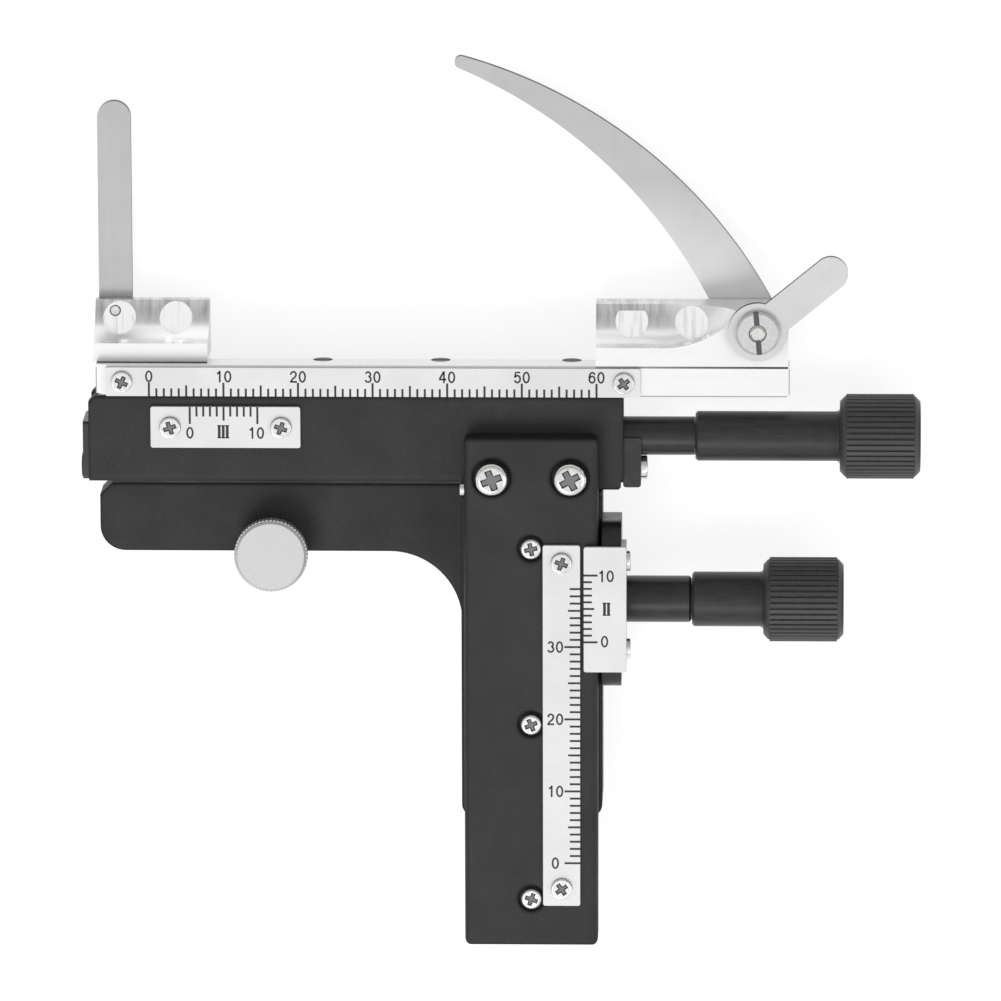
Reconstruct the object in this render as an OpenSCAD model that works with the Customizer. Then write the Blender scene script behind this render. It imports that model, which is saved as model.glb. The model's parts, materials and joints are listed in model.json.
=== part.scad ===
// Attachable mechanical stage for a microscope.
// The origin is on the clamp screw's axis, at the face that rests on the microscope's stage.
// X runs along the beam, Y along the slider, and Z points away from the microscope's stage.

/* [Base bracket] */
// Thickness of the low arm
arm_h = 6; // [4:0.5:7]
// Width of the low arm
arm_w = 9.3; // [7:0.1:9.5]
// Distance from the clamp screw to the arm's free end
arm_reach = 23.3; // [12:0.1:40]
// Distance from the clamp screw to the arm's front edge
arm_front_inset = 0.5; // [0:0.05:2]
// Radius of the arm's front corner
arm_corner_r = 3.4; // [0.5:0.1:4]
// Chamfer of the arm's back corner
arm_chamfer = 1.6; // [0.3:0.1:3]
// Radius of the lug under the clamp screw
lug_r = 4; // [3:0.1:4.4]
// Distance from the clamp screw to the upright
upright_x = 25.6; // [16:0.1:40]
// Width of the upright
upright_w = 19; // [17:0.5:26]
// Height of the upright
upright_h = 10.1; // [9.6:0.1:12]
// Distance from the clamp screw to the upright's front end
upright_front = 36.3; // [30:0.5:50]
// Radius of the inside corner between arm and upright
inside_r = 9.8; // [4:0.1:14]
// Radius of the upright's outer corners
upright_corner_r = 1.6; // [0.4:0.1:3]
// Diameter of the two locating pins below the arm
pin_d = 2; // [1.5:0.1:3]
// Length of pin that stands out of the arm
pin_out = 1.5; // [1:0.1:3]
// Distance between the locating pins
pin_spacing = 30; // [16:0.5:34]

/* [Y guide] */
// Width of the dovetail rail at its top
rail_top_w = 12.6; // [11:0.1:14]
// Width of the dovetail rail at its foot
rail_foot_w = 9.8; // [9:0.1:11]
// Height of the dovetail rail
rail_h = 2.7; // [2:0.1:3]
// Sliding clearance of the dovetail
slide_gap = 0.1; // [0.05:0.01:0.2]
// Travel of the slider towards the back
y_travel_back = 30; // [10:1:34]
// Travel of the slider towards the front
y_travel_front = 1; // [0.5:0.1:1.2]

/* [Y slider] */
// Width of the slider
slider_w = 18; // [17:0.1:24]
// Thickness of the slider
slider_h = 4.6; // [4.4:0.1:6]
// Distance from the clamp screw to the slider's front end
slider_front = 53; // [46:0.1:70]
// Distance from the clamp screw to the slider's back end
slider_back = 16.9; // [15:0.1:20]
// Rounding of the slider's long upper edges
slider_edge_r = 0.9; // [0.3:0.1:1.4]
// Radius of the slider's corners seen from above
slider_corner_r = 0.8; // [0.3:0.1:3]

/* [Y drive] */
// Gear module of the rack and pinion
gear_module = 0.5; // [0.45:0.05:0.55]
// Number of pinion teeth
pinion_teeth = 14; // [12:1:14]
// Face width of the pinion and rack
rack_w = 4; // [3:0.1:4.4]
// Height of the pinion shaft above the stage
pinion_z = 8; // [7.9:0.1:8.1]
// Distance from the clamp screw to the pinion shaft
pinion_front = 6.5; // [4:0.1:9]
// Diameter of the pinion shaft
pinion_shaft_d = 4; // [3:0.1:4.4]
// Outer diameter of the fixed bush on the pinion shaft
y_bush_d = 6.3; // [5.4:0.1:6.6]
// Length of that bush outside the bearing plate
y_bush_len = 9.4; // [5:0.1:14]
// Diameter of the Y knob's sleeve
y_sleeve_d = 7.4; // [6.6:0.1:8]
// Length of the Y knob's sleeve
y_sleeve_len = 9.6; // [6:0.1:14]
// Thickness of the bearing plate
plate_t = 2.6; // [2:0.1:4]
// Length of the bearing plate along Y
plate_len = 22.8; // [19:0.1:24]
// Height of the bearing plate's lower edge
plate_z = 2.4; // [1:0.1:3]
// Height of the bearing plate
plate_h = 11.4; // [11:0.1:12]
// Rounding of the bearing plate's ends
plate_r = 3.4; // [1:0.1:5]

/* [Knobs] */
// Diameter of both drive knobs
knob_d = 11.4; // [10.5:0.1:13]
// Length of both drive knobs
knob_len = 10.8; // [8:0.1:16]
// Number of knurl ribs
knob_ribs = 45; // [30:1:60]
// Depth of the knurl
knurl_depth = 0.32; // [0.1:0.01:0.5]
// Chamfer of the knob's ends
knob_chamfer = 0.7; // [0.3:0.1:1.2]

/* [Beam] */
// Height of the beam's underside above the stage
beam_z = 3.2; // [2.8:0.1:3.4]
// Height of the beam
beam_h = 8; // [7.8:0.1:8.2]
// Length of the beam
beam_len = 71.8; // [66:0.1:90]
// Distance from the clamp screw to the beam's left end
beam_left = 24.4; // [20:0.1:30]
// Distance from the clamp screw to the beam's front face
beam_front = 10.1; // [10:0.05:11]
// Width of the beam
beam_w = 11.75; // [11.7:0.05:12.5]
// Depth by which the foot under the slider stands forward
foot_w = 0.85; // [0.8:0.05:0.95]
// Height of the foot's underside
foot_z = 6.4; // [6.2:0.1:8]
// Length by which the foot passes the slider's right side
foot_over = 3; // [1:0.1:4]

/* [X drive] */
// Distance from the beam's front face to the spindle's axis
spindle_in = 5.75; // [5.7:0.05:5.85]
// Diameter over the spindle's threads
thread_d = 4.4; // [4:0.1:4.6]
// Diameter of the spindle between its threads
root_d = 3.2; // [2.6:0.1:3.4]
// Number of thread starts
thread_starts = 4; // [3:1:5]
// Travel of the nut for one turn of the spindle
thread_lead = 16; // [12:0.5:24]
// Clearance between nut and spindle threads
thread_gap = 0.15; // [0.12:0.01:0.2]
// Length of the nut
nut_len = 6; // [4:0.1:6]
// Distance from the clamp screw to the nut's middle
nut_x = 37; // [34:0.1:37]
// Outer diameter of the fixed X bush
x_bush_d = 5.2; // [4.6:0.1:5.2]
// Length of the X bush outside the beam
x_bush_len = 9.6; // [6:0.1:14]
// Diameter of the X spindle's journal
x_journal_d = 3.6; // [3:0.1:3.8]
// Diameter of the X knob's sleeve
x_sleeve_d = 6.7; // [5.4:0.1:8]
// Length of the X knob's sleeve
x_sleeve_len = 19.4; // [10:0.1:24]

/* [Slide bar] */
// Length of the slide bar
bar_len = 93; // [86:0.1:110]
// Distance from the clamp screw to the bar's left end
bar_left = 23.3; // [20:0.1:30]
// Width of the slide bar
bar_w = 4.2; // [3.4:0.05:5]
// Height of the slide bar
bar_h = 6.2; // [5.6:0.1:6.4]
// Height of the bar's underside above the stage
bar_z = 5.4; // [5:0.1:5.6]
// Gap between beam and bar
bar_gap = 0.25; // [0.1:0.05:0.4]
// Width of the dovetail tongue at the bar
tongue_neck = 3.2; // [2.8:0.1:3.4]
// Width of the dovetail tongue inside the beam
tongue_wide = 4.8; // [4.4:0.1:5]
// Depth of the dovetail tongue
tongue_t = 2.6; // [2.4:0.1:3]
// Length of the dovetail tongue
tongue_len = 44; // [40:0.5:50]

/* [Slide holder blocks] */
// Depth of the blocks behind the bar
block_w = 7.2; // [6.4:0.1:9]
// Height of the blocks' underside above the stage
block_z = 1.6; // [1.5:0.05:2]
// Length of the left block
left_len = 15.4; // [11.5:0.1:18]
// Distance by which the left block passes the bar's end
left_over = 0.5; // [0:0.1:2]
// Height of the left block's top above the stage
left_top = 9.8; // [9:0.1:11]
// Length of the right block
right_len = 25.8; // [24:0.1:30]
// Height of the right block's top above the stage
right_top = 11.9; // [11:0.1:12.1]
// Width of the blocks' flat top strip
strip_w = 2.5; // [2:0.1:3.2]
// Radius of the hollow cut that clears the objective
scoop_r = 7; // [6.4:0.1:7.4]
// Diameter of the round pockets in the hollow cut
pocket_d = 4.4; // [3:0.1:4.4]
// Thickness left under the pockets
pocket_floor = 0.8; // [0.6:0.1:1]

/* [Fingers] */
// Thickness of both fingers
finger_t = 1.2; // [0.8:0.1:1.25]
// Height of the fingers above the stage
finger_z = 0.2; // [0.1:0.05:0.25]
// Width of the fixed finger
finger_w = 4.5; // [3:0.1:6]
// Length of the fixed finger behind the bar
finger_len = 34; // [20:0.1:50]
// Radius of the curved finger's outer edge
curve_out_r = 68.4; // [60:0.1:76]

/* [Finger pivot] */
// Distance by which the right block ends before the bar
right_inset = 0.2; // [0:0.1:1]
// Distance from the right block's end to the pivot
pivot_in = 4.1; // [3.8:0.1:5]
// Distance from the bar to the pivot
pivot_back = 4.9; // [4.2:0.1:5.4]
// Diameter of the pivot stud
stud_d = 2.2; // [1.8:0.1:2.6]
// Diameter of the lever's eye
eye_d = 7.9; // [7:0.1:8.4]
// Thickness of the lever
lever_t = 1; // [0.7:0.1:1.5]
// Width of the lever
lever_w = 4.6; // [3:0.1:5]
// Distance from the pivot to the lever's rounded tip
lever_len = 14.9; // [9:0.1:20]
// Angle of the lever to the bar at rest
lever_angle = 39.4; // [20:0.1:60]
// Diameter of the slotted nut
ring_nut_d = 5.9; // [4.6:0.1:6]
// Height of the slotted nut
ring_nut_h = 0.9; // [0.6:0.1:1.6]

/* [Scales] */
// Thickness of the scale plates
scale_t = 0.6; // [0.4:0.05:0.8]
// Length of the X scale
x_scale_len = 71.7; // [64:0.1:80]
// Width of the X scale
x_scale_w = 3.9; // [3.2:0.05:4.2]
// Length of the X vernier plate
x_vernier_len = 20.1; // [18:0.1:24]
// Width of the X vernier plate
x_vernier_w = 5.6; // [4.5:0.1:6]
// Length of the Y scale plate
y_scale_len = 49.9; // [40:0.1:54]
// Width of the Y scale plate
y_scale_w = 5; // [4:0.1:5.4]
// Length of the Y vernier bracket
y_vernier_len = 17.2; // [16:0.1:20]
// Thickness of the Y vernier bracket
y_vernier_t = 0.7; // [0.5:0.05:0.9]

/* [Screws] */
// Thread diameter of the clamp screw below the arm
clamp_d = 3; // [2.5:0.1:4]
// Length of thread that stands out below the arm
clamp_out = 2.5; // [2:0.1:6]
// Diameter of the clamp screw's knurled head
clamp_head_d = 9.9; // [8:0.1:14]
// Height of the clamp screw's knurled head
clamp_head_h = 2.4; // [1.5:0.1:5]
// Travel of the clamp screw when it is tightened
clamp_travel = 3; // [1:0.1:3.4]
// Head diameter of the large screws
large_head_d = 4.45; // [3.5:0.05:5]
// Head diameter of the small screws
small_head_d = 2.8; // [2:0.05:3]
// Head diameter of the hidden screws
tiny_head_d = 1.8; // [1.2:0.05:2]

/* [Hidden] */

// Shares and plain angles
half = 1 / 2;
third = 1 / 3;
quarter = 1 / 4;
full_turn = 360;
half_turn = 180;
right_angle = 90;
eighth_turn = 45;
round_fn = 64;
fine_fn = 32;

// Overrun of every cut, running fit, and the fine chamfer on turned pieces
over = 0.5;
fit = 0.05;
edge_chamfer = 0.3;

// Screws
small_head_h = 0.55;
tiny_head_h = 0.6;
shank_share = 0.55;
small_shank_d = small_head_d * shank_share;
large_shank_d = large_head_d * shank_share;
tiny_shank_d = tiny_head_d * shank_share;
dome_share = 0.3;
cross_w_share = 0.22;
cross_len_share = 0.64;
slot_share = 0.14;
knob_grip_share = 0.8;
rib_out_share = 0.8;
rib_margin = 0.15;
flare_share = 0.7;

// Arm and upright
arm_y0 = -arm_front_inset;
arm_y1 = arm_y0 + arm_w;
foot_front = beam_front - foot_w;
upright_back = foot_front - y_travel_front - 2 * slide_gap;
upright_mid = upright_x + upright_w / 2;
upright_right = upright_x + upright_w;
pin_y = arm_y0 + arm_w * half;
pin_in = 3;
pin_shank_share = 0.7;
pin_shank_d = pin_d * pin_shank_share;
underside_relief = 0.4;
rail_z = upright_h;
rail_top = rail_z + rail_h;
rack_slot_w = rack_w + 4 * slide_gap;

// Slider
slider_lift = 0.3;
slider_z = upright_h + slider_lift;
slider_top = slider_z + slider_h;
slider_x0 = upright_mid - slider_w / 2;
slider_x1 = upright_mid + slider_w / 2;
groove_end = upright_back + y_travel_front + slide_gap;
groove_top = rail_top + 2 * slide_gap;

// Rack and pinion, from the gear module
dedendum = gear_module * 1.25;
pitch_r = gear_module * pinion_teeth / 2;
tip_r = pitch_r + gear_module;
root_r = pitch_r - dedendum;
tooth_pitch = PI * gear_module;
pressure_angle = 20;
backlash_share = 0.06;
pinion_y = -pinion_front;
rack_pitch_z = pinion_z + pitch_r;
rack_root_z = rack_pitch_z + dedendum;
rack_tip_z = rack_pitch_z - gear_module;
rack_front = pinion_y - y_travel_back - 8 * tooth_pitch;
rack_back = groove_end - 3 * tooth_pitch;
rack_screw_in = 5 * gear_module;

// Beam
beam_top = beam_z + beam_h;
beam_x0 = -beam_left;
beam_x1 = beam_x0 + beam_len;
beam_back = beam_front + beam_w;
foot_x0 = slider_x0 - edge_chamfer;
foot_x1 = slider_x1 + foot_over;
spindle_y = beam_front + spindle_in;
spindle_z = beam_z + beam_h / 2;
bar_y0 = beam_back + bar_gap;
bar_y1 = bar_y0 + bar_w;
tongue_y = bar_y0 - tongue_t;
cavity_h = tongue_wide + 6 * slide_gap;
cavity_front = spindle_y - cavity_h / 2;

// Bar and blocks
bar_top = bar_z + bar_h;
bar_x0 = -bar_left;
bar_x1 = bar_x0 + bar_len;
bar_corner = 1.4;
bar_bevel_w = bar_w * quarter;
bar_bevel_h = bar_h * third;
left_x0 = bar_x0 - left_over;
left_x1 = left_x0 + left_len;
right_x1 = bar_x1 - right_inset;
right_x0 = right_x1 - right_len;
block_y1 = bar_y1 + block_w;
pivot_x = right_x1 - pivot_in;
pivot_y = bar_y1 + pivot_back;
finger_top = finger_z + finger_t;

// Scales
x_scale_in = 1.3;
x_scale_x0 = bar_x0 + x_scale_in;
x_scale_mid_y = bar_y0 + x_scale_w / 2;
scale_screw_in = 2.2;
slider_scale_shift = 4.1;
y_scale_x = upright_mid + slider_scale_shift;
y_scale_front = 47.4;
y_scale_screw_in = 2.4;
y_scale_y1 = y_scale_len - y_scale_front;
vernier_lift = 0.2;
vernier_z = slider_top + vernier_lift;
vernier_gap = 0.5;
vernier_x0 = y_scale_x + y_scale_w / 2 + vernier_gap;
plate_x0 = upright_right;
plate_x1 = plate_x0 + plate_t;
vernier_x1 = plate_x1 + y_vernier_t;

// Shared shapes

// A rectangle with round corners, with its lower left corner at the origin
module rounded_rect(w, d, r) {
    translate([r, 0]) square([w - 2 * r, d]);
    translate([0, r]) square([w, d - 2 * r]);
    for (x = [r, w - r], y = [r, d - r]) translate([x, y]) circle(r, $fn = fine_fn);
}

// A cylinder along X whose face with the smaller x is at x0
module rod_x(x0, len, d, y, z) {
    translate([x0, y, z]) rotate([0, right_angle, 0]) cylinder(h = len, d = d, $fn = round_fn);
}

// A profile drawn in Y and Z and drawn out along X
module along_x(x0, len) {
    translate([x0, 0, 0]) rotate([right_angle, 0, right_angle]) linear_extrude(len) children();
}

// A profile drawn in X and Z and drawn out along Y
module along_y(y0, len) {
    translate([0, y0 + len, 0]) rotate([right_angle, 0, 0]) linear_extrude(len) children();
}

// A pan head screw that points down, with the underside of its head at the origin
module pan_screw(head_d, head_h, shank_d, shank_len) {
    dome_r = head_h * dome_share;
    rotate_extrude($fn = round_fn) {
        square([head_d / 2 - dome_r, head_h]);
        square([head_d / 2, head_h - dome_r]);
        intersection() {
            translate([head_d / 2 - dome_r, head_h - dome_r]) circle(dome_r, $fn = fine_fn);
            square([head_d, head_h]);
        }
        translate([0, -shank_len]) square([shank_d / 2, shank_len + head_h * half]);
    }
}

// The cross recess that is cut into a pan head at the origin
module cross_recess(head_d, head_h) {
    slot_w = head_d * cross_w_share;
    slot_len = head_d * cross_len_share;
    for (turn = [0, right_angle]) {
        translate([0, 0, head_h * half]) rotate([0, 0, turn])
            translate([-slot_len / 2, -slot_w / 2, 0]) cube([slot_len, slot_w, head_h]);
    }
}

// A pan head screw with its cross recess turned by an angle
module cross_screw(head_d, head_h, shank_len, turn) {
    rotate([0, 0, turn]) difference() {
        pan_screw(head_d, head_h, head_d * shank_share, shank_len);
        cross_recess(head_d, head_h);
    }
}

// A countersunk screw that points down, with its flat face at the origin
module flush_screw(head_d, len) {
    shank_d = head_d * shank_share;
    head_h = (head_d - shank_d) / 2;
    slot_w = head_d * slot_share;
    difference() {
        rotate_extrude($fn = fine_fn) polygon([
            [0, 0], [head_d / 2, 0], [shank_d / 2, -head_h], [shank_d / 2, -len], [0, -len]
        ]);
        translate([-head_d, -slot_w / 2, -head_h * half]) cube([2 * head_d, slot_w, head_d]);
    }
}

// The hole that a flush screw sits in
module flush_hole(head_d, len) {
    shank_d = head_d * shank_share + 2 * fit;
    head_h = (head_d - head_d * shank_share) / 2;
    rotate_extrude($fn = fine_fn) polygon([
        [0, over], [head_d / 2 + fit, over], [head_d / 2 + fit, 0],
        [shank_d / 2, -head_h], [shank_d / 2, -len - fit], [0, -len - fit]
    ]);
}

// A straight knurled outline of evenly spaced ribs
module knurl_outline(d, ribs, depth) {
    step = full_turn / ribs;
    rib_share = 0.3;
    polygon([for (i = [0:ribs - 1]) for (p = [
        [d / 2 - depth, -half], [d / 2, -rib_share], [d / 2, rib_share], [d / 2 - depth, half]
    ]) p[0] * [cos(step * (i + p[1])), sin(step * (i + p[1]))]]);
}

// A knurled knob along +X from the origin, with a sleeve in front of it and a bore through both
module drive_knob(sleeve_d, sleeve_len, bore_d, bore_len) {
    end_x = sleeve_len + knob_len;
    plain_d = knob_d - 2 * knurl_depth * rib_out_share;
    lip = knob_chamfer;
    flare = lip * flare_share;
    rib_x0 = sleeve_len + lip + rib_margin;
    difference() {
        union() {
            rotate([0, right_angle, 0]) rotate_extrude($fn = round_fn) polygon([
                [0, 0], [sleeve_d / 2 - edge_chamfer, 0], [sleeve_d / 2, edge_chamfer],
                [sleeve_d / 2, sleeve_len - flare],
                [sleeve_d / 2 + flare * quarter, sleeve_len - flare * quarter],
                [sleeve_d / 2 + flare, sleeve_len], [plain_d / 2 - lip, sleeve_len],
                [plain_d / 2, sleeve_len + lip], [plain_d / 2, end_x - lip],
                [plain_d / 2 - lip, end_x], [0, end_x]
            ]);
            translate([rib_x0, 0, 0]) rotate([0, right_angle, 0])
                linear_extrude(end_x - lip - rib_margin - rib_x0)
                    knurl_outline(knob_d, knob_ribs, knurl_depth);
        }
        rod_x(-over, bore_len + over + fit, bore_d + 2 * fit, 0, 0);
    }
}

// Base bracket

// The arm's outline from above, with the round lug that carries the clamp screw
module arm_outline() {
    difference() {
        union() {
            translate([-arm_reach, arm_y0]) difference() {
                square([upright_right + arm_reach, arm_w]);
                polygon([[0, arm_w - arm_chamfer], [arm_chamfer, arm_w], [0, arm_w]]);
                square(arm_corner_r);
            }
            translate([arm_corner_r - arm_reach, arm_y0 + arm_corner_r])
                circle(arm_corner_r, $fn = fine_fn);
            circle(lug_r, $fn = round_fn);
            upright_outline(arm_y1);
            translate([upright_x - inside_r, arm_y0 - inside_r]) square(inside_r + over);
        }
        translate([upright_x - inside_r, arm_y0 - inside_r]) circle(inside_r, $fn = round_fn);
    }
}

// The upright's outline from above, up to a given y
module upright_outline(y1) {
    r = upright_corner_r;
    translate([upright_x, -upright_front + r]) square([upright_w, y1 + upright_front - r]);
    translate([upright_x, -upright_front]) rounded_rect(upright_w, 4 * r, r);
}

module rail_section() {
    polygon([
        [upright_mid - rail_foot_w / 2, rail_z - over], [upright_mid - rail_foot_w / 2, rail_z],
        [upright_mid - rail_top_w / 2, rail_top], [upright_mid + rail_top_w / 2, rail_top],
        [upright_mid + rail_foot_w / 2, rail_z], [upright_mid + rail_foot_w / 2, rail_z - over]
    ]);
}

module base_bracket() {
    slot_floor = rack_tip_z - 4 * slide_gap;
    color([0.09, 0.09, 0.095]) difference() {
        union() {
            linear_extrude(arm_h) arm_outline();
            linear_extrude(upright_h) upright_outline(upright_back);
            along_y(-upright_front, upright_back + upright_front) rail_section();
        }
        // The clamp screw's thin shank runs in this hole, and its thread can't pass back through it
        translate([0, 0, -over]) cylinder(h = arm_h + 2 * over, d = clamp_hole_d, $fn = round_fn);
        // Shallow recesses round the thread and the pins keep their shoulders off the stage
        translate([0, 0, -over]) relief(clamp_d);
        // The rack runs in a slot along the rail, and the pinion turns in a pocket under it
        translate([upright_mid - rack_slot_w / 2, -upright_front - over, slot_floor])
            cube([rack_slot_w, upright_back + upright_front + 2 * over, rail_top]);
        rod_x(upright_mid - rack_slot_w / 2, rack_slot_w, 2 * (tip_r + 3 * slide_gap), pinion_y, pinion_z);
        rod_x(pinion_x0 - fit, upright_right, pinion_shaft_d + 2 * fit, pinion_y, pinion_z);
        for (side = [-half, half]) translate([side * pin_spacing, pin_y, -over]) {
            cylinder(h = pin_in + over, d = pin_shank_d, $fn = fine_fn);
            relief(pin_d);
        }
        bearing_screw_places() flush_hole(small_head_d, plate_screw_len);
    }
}

// A shallow round recess in the underside, around a pin or thread
module relief(d) {
    cylinder(h = underside_relief + over, d = d + 2 * underside_relief, $fn = round_fn);
}

pinion_tail = 2.5;
pinion_x0 = upright_mid - rack_slot_w / 2 - pinion_tail;
plate_screw_grip = 3;
plate_screw_len = plate_t + plate_screw_grip;
plate_screw_lift = 2;
plate_screw_z = plate_z + plate_screw_lift;
plate_screw_share = 0.34;

// Puts a screw shape at each screw of the bearing plate, pointing along -X
module bearing_screw_places() {
    for (side = [-1, 1]) translate([plate_x1, pinion_y + side * plate_len * plate_screw_share, plate_screw_z])
        rotate([0, right_angle, 0]) children();
}

module locating_pins() {
    color([0.75, 0.76, 0.78]) for (side = [-half, half]) translate([side * pin_spacing, pin_y, -pin_out]) {
        cylinder(h = edge_chamfer, d1 = pin_d - 2 * edge_chamfer, d2 = pin_d, $fn = fine_fn);
        translate([0, 0, edge_chamfer]) cylinder(h = pin_out - edge_chamfer, d = pin_d, $fn = fine_fn);
        translate([0, 0, edge_chamfer])
            cylinder(h = pin_out + pin_in - edge_chamfer, d = pin_shank_d, $fn = fine_fn);
    }
}

module bearing_plate() {
    color([0.05, 0.05, 0.055]) difference() {
        along_x(plate_x0, plate_t) translate([pinion_y - plate_len / 2, plate_z])
            rounded_rect(plate_len, plate_h, plate_r);
        rod_x(plate_x0 - over, plate_t + 2 * over, y_bush_d, pinion_y, pinion_z);
        bearing_screw_places() flush_hole(small_head_d, plate_screw_len);
        vernier_screw_places()
            cylinder(h = 2 * vernier_shank, d = small_shank_d, center = true, $fn = fine_fn);
    }
}

module bearing_plate_screws() {
    color([0.2, 0.2, 0.21]) bearing_screw_places() flush_screw(small_head_d, plate_screw_len);
}

module y_bush() {
    color([0.06, 0.06, 0.065]) difference() {
        union() {
            rod_x(plate_x0, plate_t + y_bush_len - edge_chamfer, y_bush_d, pinion_y, pinion_z);
            translate([plate_x1 + y_bush_len - edge_chamfer, pinion_y, pinion_z]) rotate([0, right_angle, 0])
                cylinder(h = edge_chamfer, d1 = y_bush_d, d2 = y_bush_d - 2 * edge_chamfer, $fn = round_fn);
        }
        rod_x(plate_x0 - over, plate_t + y_bush_len + 2 * over, pinion_shaft_d + 2 * fit, pinion_y, pinion_z);
    }
}

// An involute gear's outline, with one tooth pointing along +X
function involute(base_r, a) =
    let (roll = a * PI / half_turn)
    base_r * [cos(a) + roll * sin(a), sin(a) - roll * cos(a)];
function turned(p, a) = [p[0] * cos(a) - p[1] * sin(a), p[0] * sin(a) + p[1] * cos(a)];

module gear_outline() {
    base_r = pitch_r * cos(pressure_angle);
    start_r = max(base_r, root_r);
    roll_tip = sqrt(pow(tip_r / base_r, 2) - 1) * half_turn / PI;
    roll_start = sqrt(pow(start_r / base_r, 2) - 1) * half_turn / PI;
    pitch_angle = tan(pressure_angle) * half_turn / PI - pressure_angle;
    tooth_angle = right_angle / pinion_teeth * (1 - backlash_share);
    steps = 4;
    flank = [for (i = [0:steps]) turned(
        involute(base_r, roll_start + (roll_tip - roll_start) * i / steps), -tooth_angle - pitch_angle
    )];
    tooth = concat([flank[0] * root_r / start_r], flank);
    last = len(tooth) - 1;
    polygon([for (k = [0:pinion_teeth - 1]) for (i = [0:2 * last + 1])
        let (p = i <= last ? tooth[i] : [tooth[2 * last + 1 - i][0], -tooth[2 * last + 1 - i][1]])
        turned(p, full_turn * k / pinion_teeth)]);
}

y_knob_x = plate_x1 + y_bush_len + 2 * fit;
pinion_end = y_knob_x + y_sleeve_len * knob_grip_share;

module pinion_shaft() {
    gear_x0 = upright_mid - rack_w / 2;
    color([0.62, 0.62, 0.64]) union() {
        rod_x(pinion_x0, pinion_end - pinion_x0, pinion_shaft_d, pinion_y, pinion_z);
        translate([gear_x0, pinion_y, pinion_z]) rotate([0, -right_angle, 0]) mirror([0, 0, 1])
            linear_extrude(rack_w) gear_outline();
    }
}

module y_knob() {
    color([0.07, 0.07, 0.075]) translate([y_knob_x, pinion_y, pinion_z])
        drive_knob(y_sleeve_d, y_sleeve_len, pinion_shaft_d, pinion_end - y_knob_x);
}

// Clamp screw

clamp_shank_d = clamp_d * 0.8;
clamp_hole_d = clamp_shank_d + 4 * fit;
washer_t = 0.5;
washer_z = arm_h + clamp_travel + fit;
head_z = washer_z + washer_t;
washer_d = clamp_d * 2.2;
clamp_ribs = 60;
clamp_knurl = 0.2;
clamp_rib_margin = 0.1;

module thumb_washer() {
    color([0.78, 0.78, 0.8]) translate([0, 0, washer_z]) difference() {
        cylinder(h = washer_t, d = washer_d, $fn = round_fn);
        translate([0, 0, -over]) cylinder(h = washer_t + 2 * over, d = clamp_hole_d, $fn = round_fn);
    }
}

module thumb_screw() {
    rim = edge_chamfer;
    plain_d = clamp_head_d - 2 * clamp_knurl * rib_out_share;
    rib_z0 = head_z + rim + clamp_rib_margin;
    color([0.8, 0.8, 0.82]) union() {
        translate([0, 0, -clamp_out]) cylinder(h = rim, d1 = clamp_d - 2 * rim, d2 = clamp_d, $fn = round_fn);
        translate([0, 0, rim - clamp_out]) cylinder(h = clamp_out - rim, d = clamp_d, $fn = round_fn);
        translate([0, 0, -rim]) cylinder(h = head_z + 2 * rim, d = clamp_shank_d, $fn = round_fn);
        translate([0, 0, head_z]) rotate_extrude($fn = round_fn) polygon([
            [0, 0], [plain_d / 2 - rim, 0], [plain_d / 2, rim], [plain_d / 2, clamp_head_h - rim],
            [plain_d / 2 - rim, clamp_head_h], [0, clamp_head_h]
        ]);
        translate([0, 0, rib_z0]) linear_extrude(head_z + clamp_head_h - rim - clamp_rib_margin - rib_z0)
            knurl_outline(clamp_head_d, clamp_ribs, clamp_knurl);
    }
}

// Y vernier

vernier_shank = 2;
vernier_screw_spacing = 12.2;
vernier_flange_h = 5.3;
vernier_screw_drop = 3.3;
vernier_screw_z = vernier_z + y_vernier_t - vernier_screw_drop;
vernier_shift = 0.25;
vernier_mid_y = pinion_y + vernier_shift;
vernier_y0 = vernier_mid_y - y_vernier_len / 2;
vernier_corner_r = 0.3;
vernier_screw_turn = 30;

// Puts a shape at each screw of the vernier bracket's flange, with +Z turned to +X
module vernier_screw_places() {
    for (side = [-half, half])
        translate([vernier_x1, vernier_mid_y + side * vernier_screw_spacing, vernier_screw_z])
        rotate([0, right_angle, 0]) children();
}

module vernier_bracket() {
    top_w = vernier_x1 - vernier_x0;
    flange_z = vernier_z + y_vernier_t - vernier_flange_h;
    notch_r = y_bush_d / 2 + 2 * slide_gap;
    color([0.85, 0.85, 0.86]) difference() {
        union() {
            translate([vernier_x0, vernier_y0, vernier_z]) linear_extrude(y_vernier_t)
                rounded_rect(top_w, y_vernier_len, vernier_corner_r);
            along_x(plate_x1, y_vernier_t) translate([vernier_y0, flange_z])
                rounded_rect(y_vernier_len, vernier_flange_h, vernier_corner_r);
        }
        rod_x(plate_x1 - over, y_vernier_t + 2 * over, 2 * notch_r, pinion_y, pinion_z);
        vernier_screw_places()
            cylinder(h = 2 * y_vernier_t + over, d = small_shank_d, center = true, $fn = fine_fn);
    }
}

module vernier_bracket_screws() {
    color([0.82, 0.82, 0.84]) vernier_screw_places()
        cross_screw(small_head_d, small_head_h, vernier_shank, vernier_screw_turn);
}

// Y slider

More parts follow.
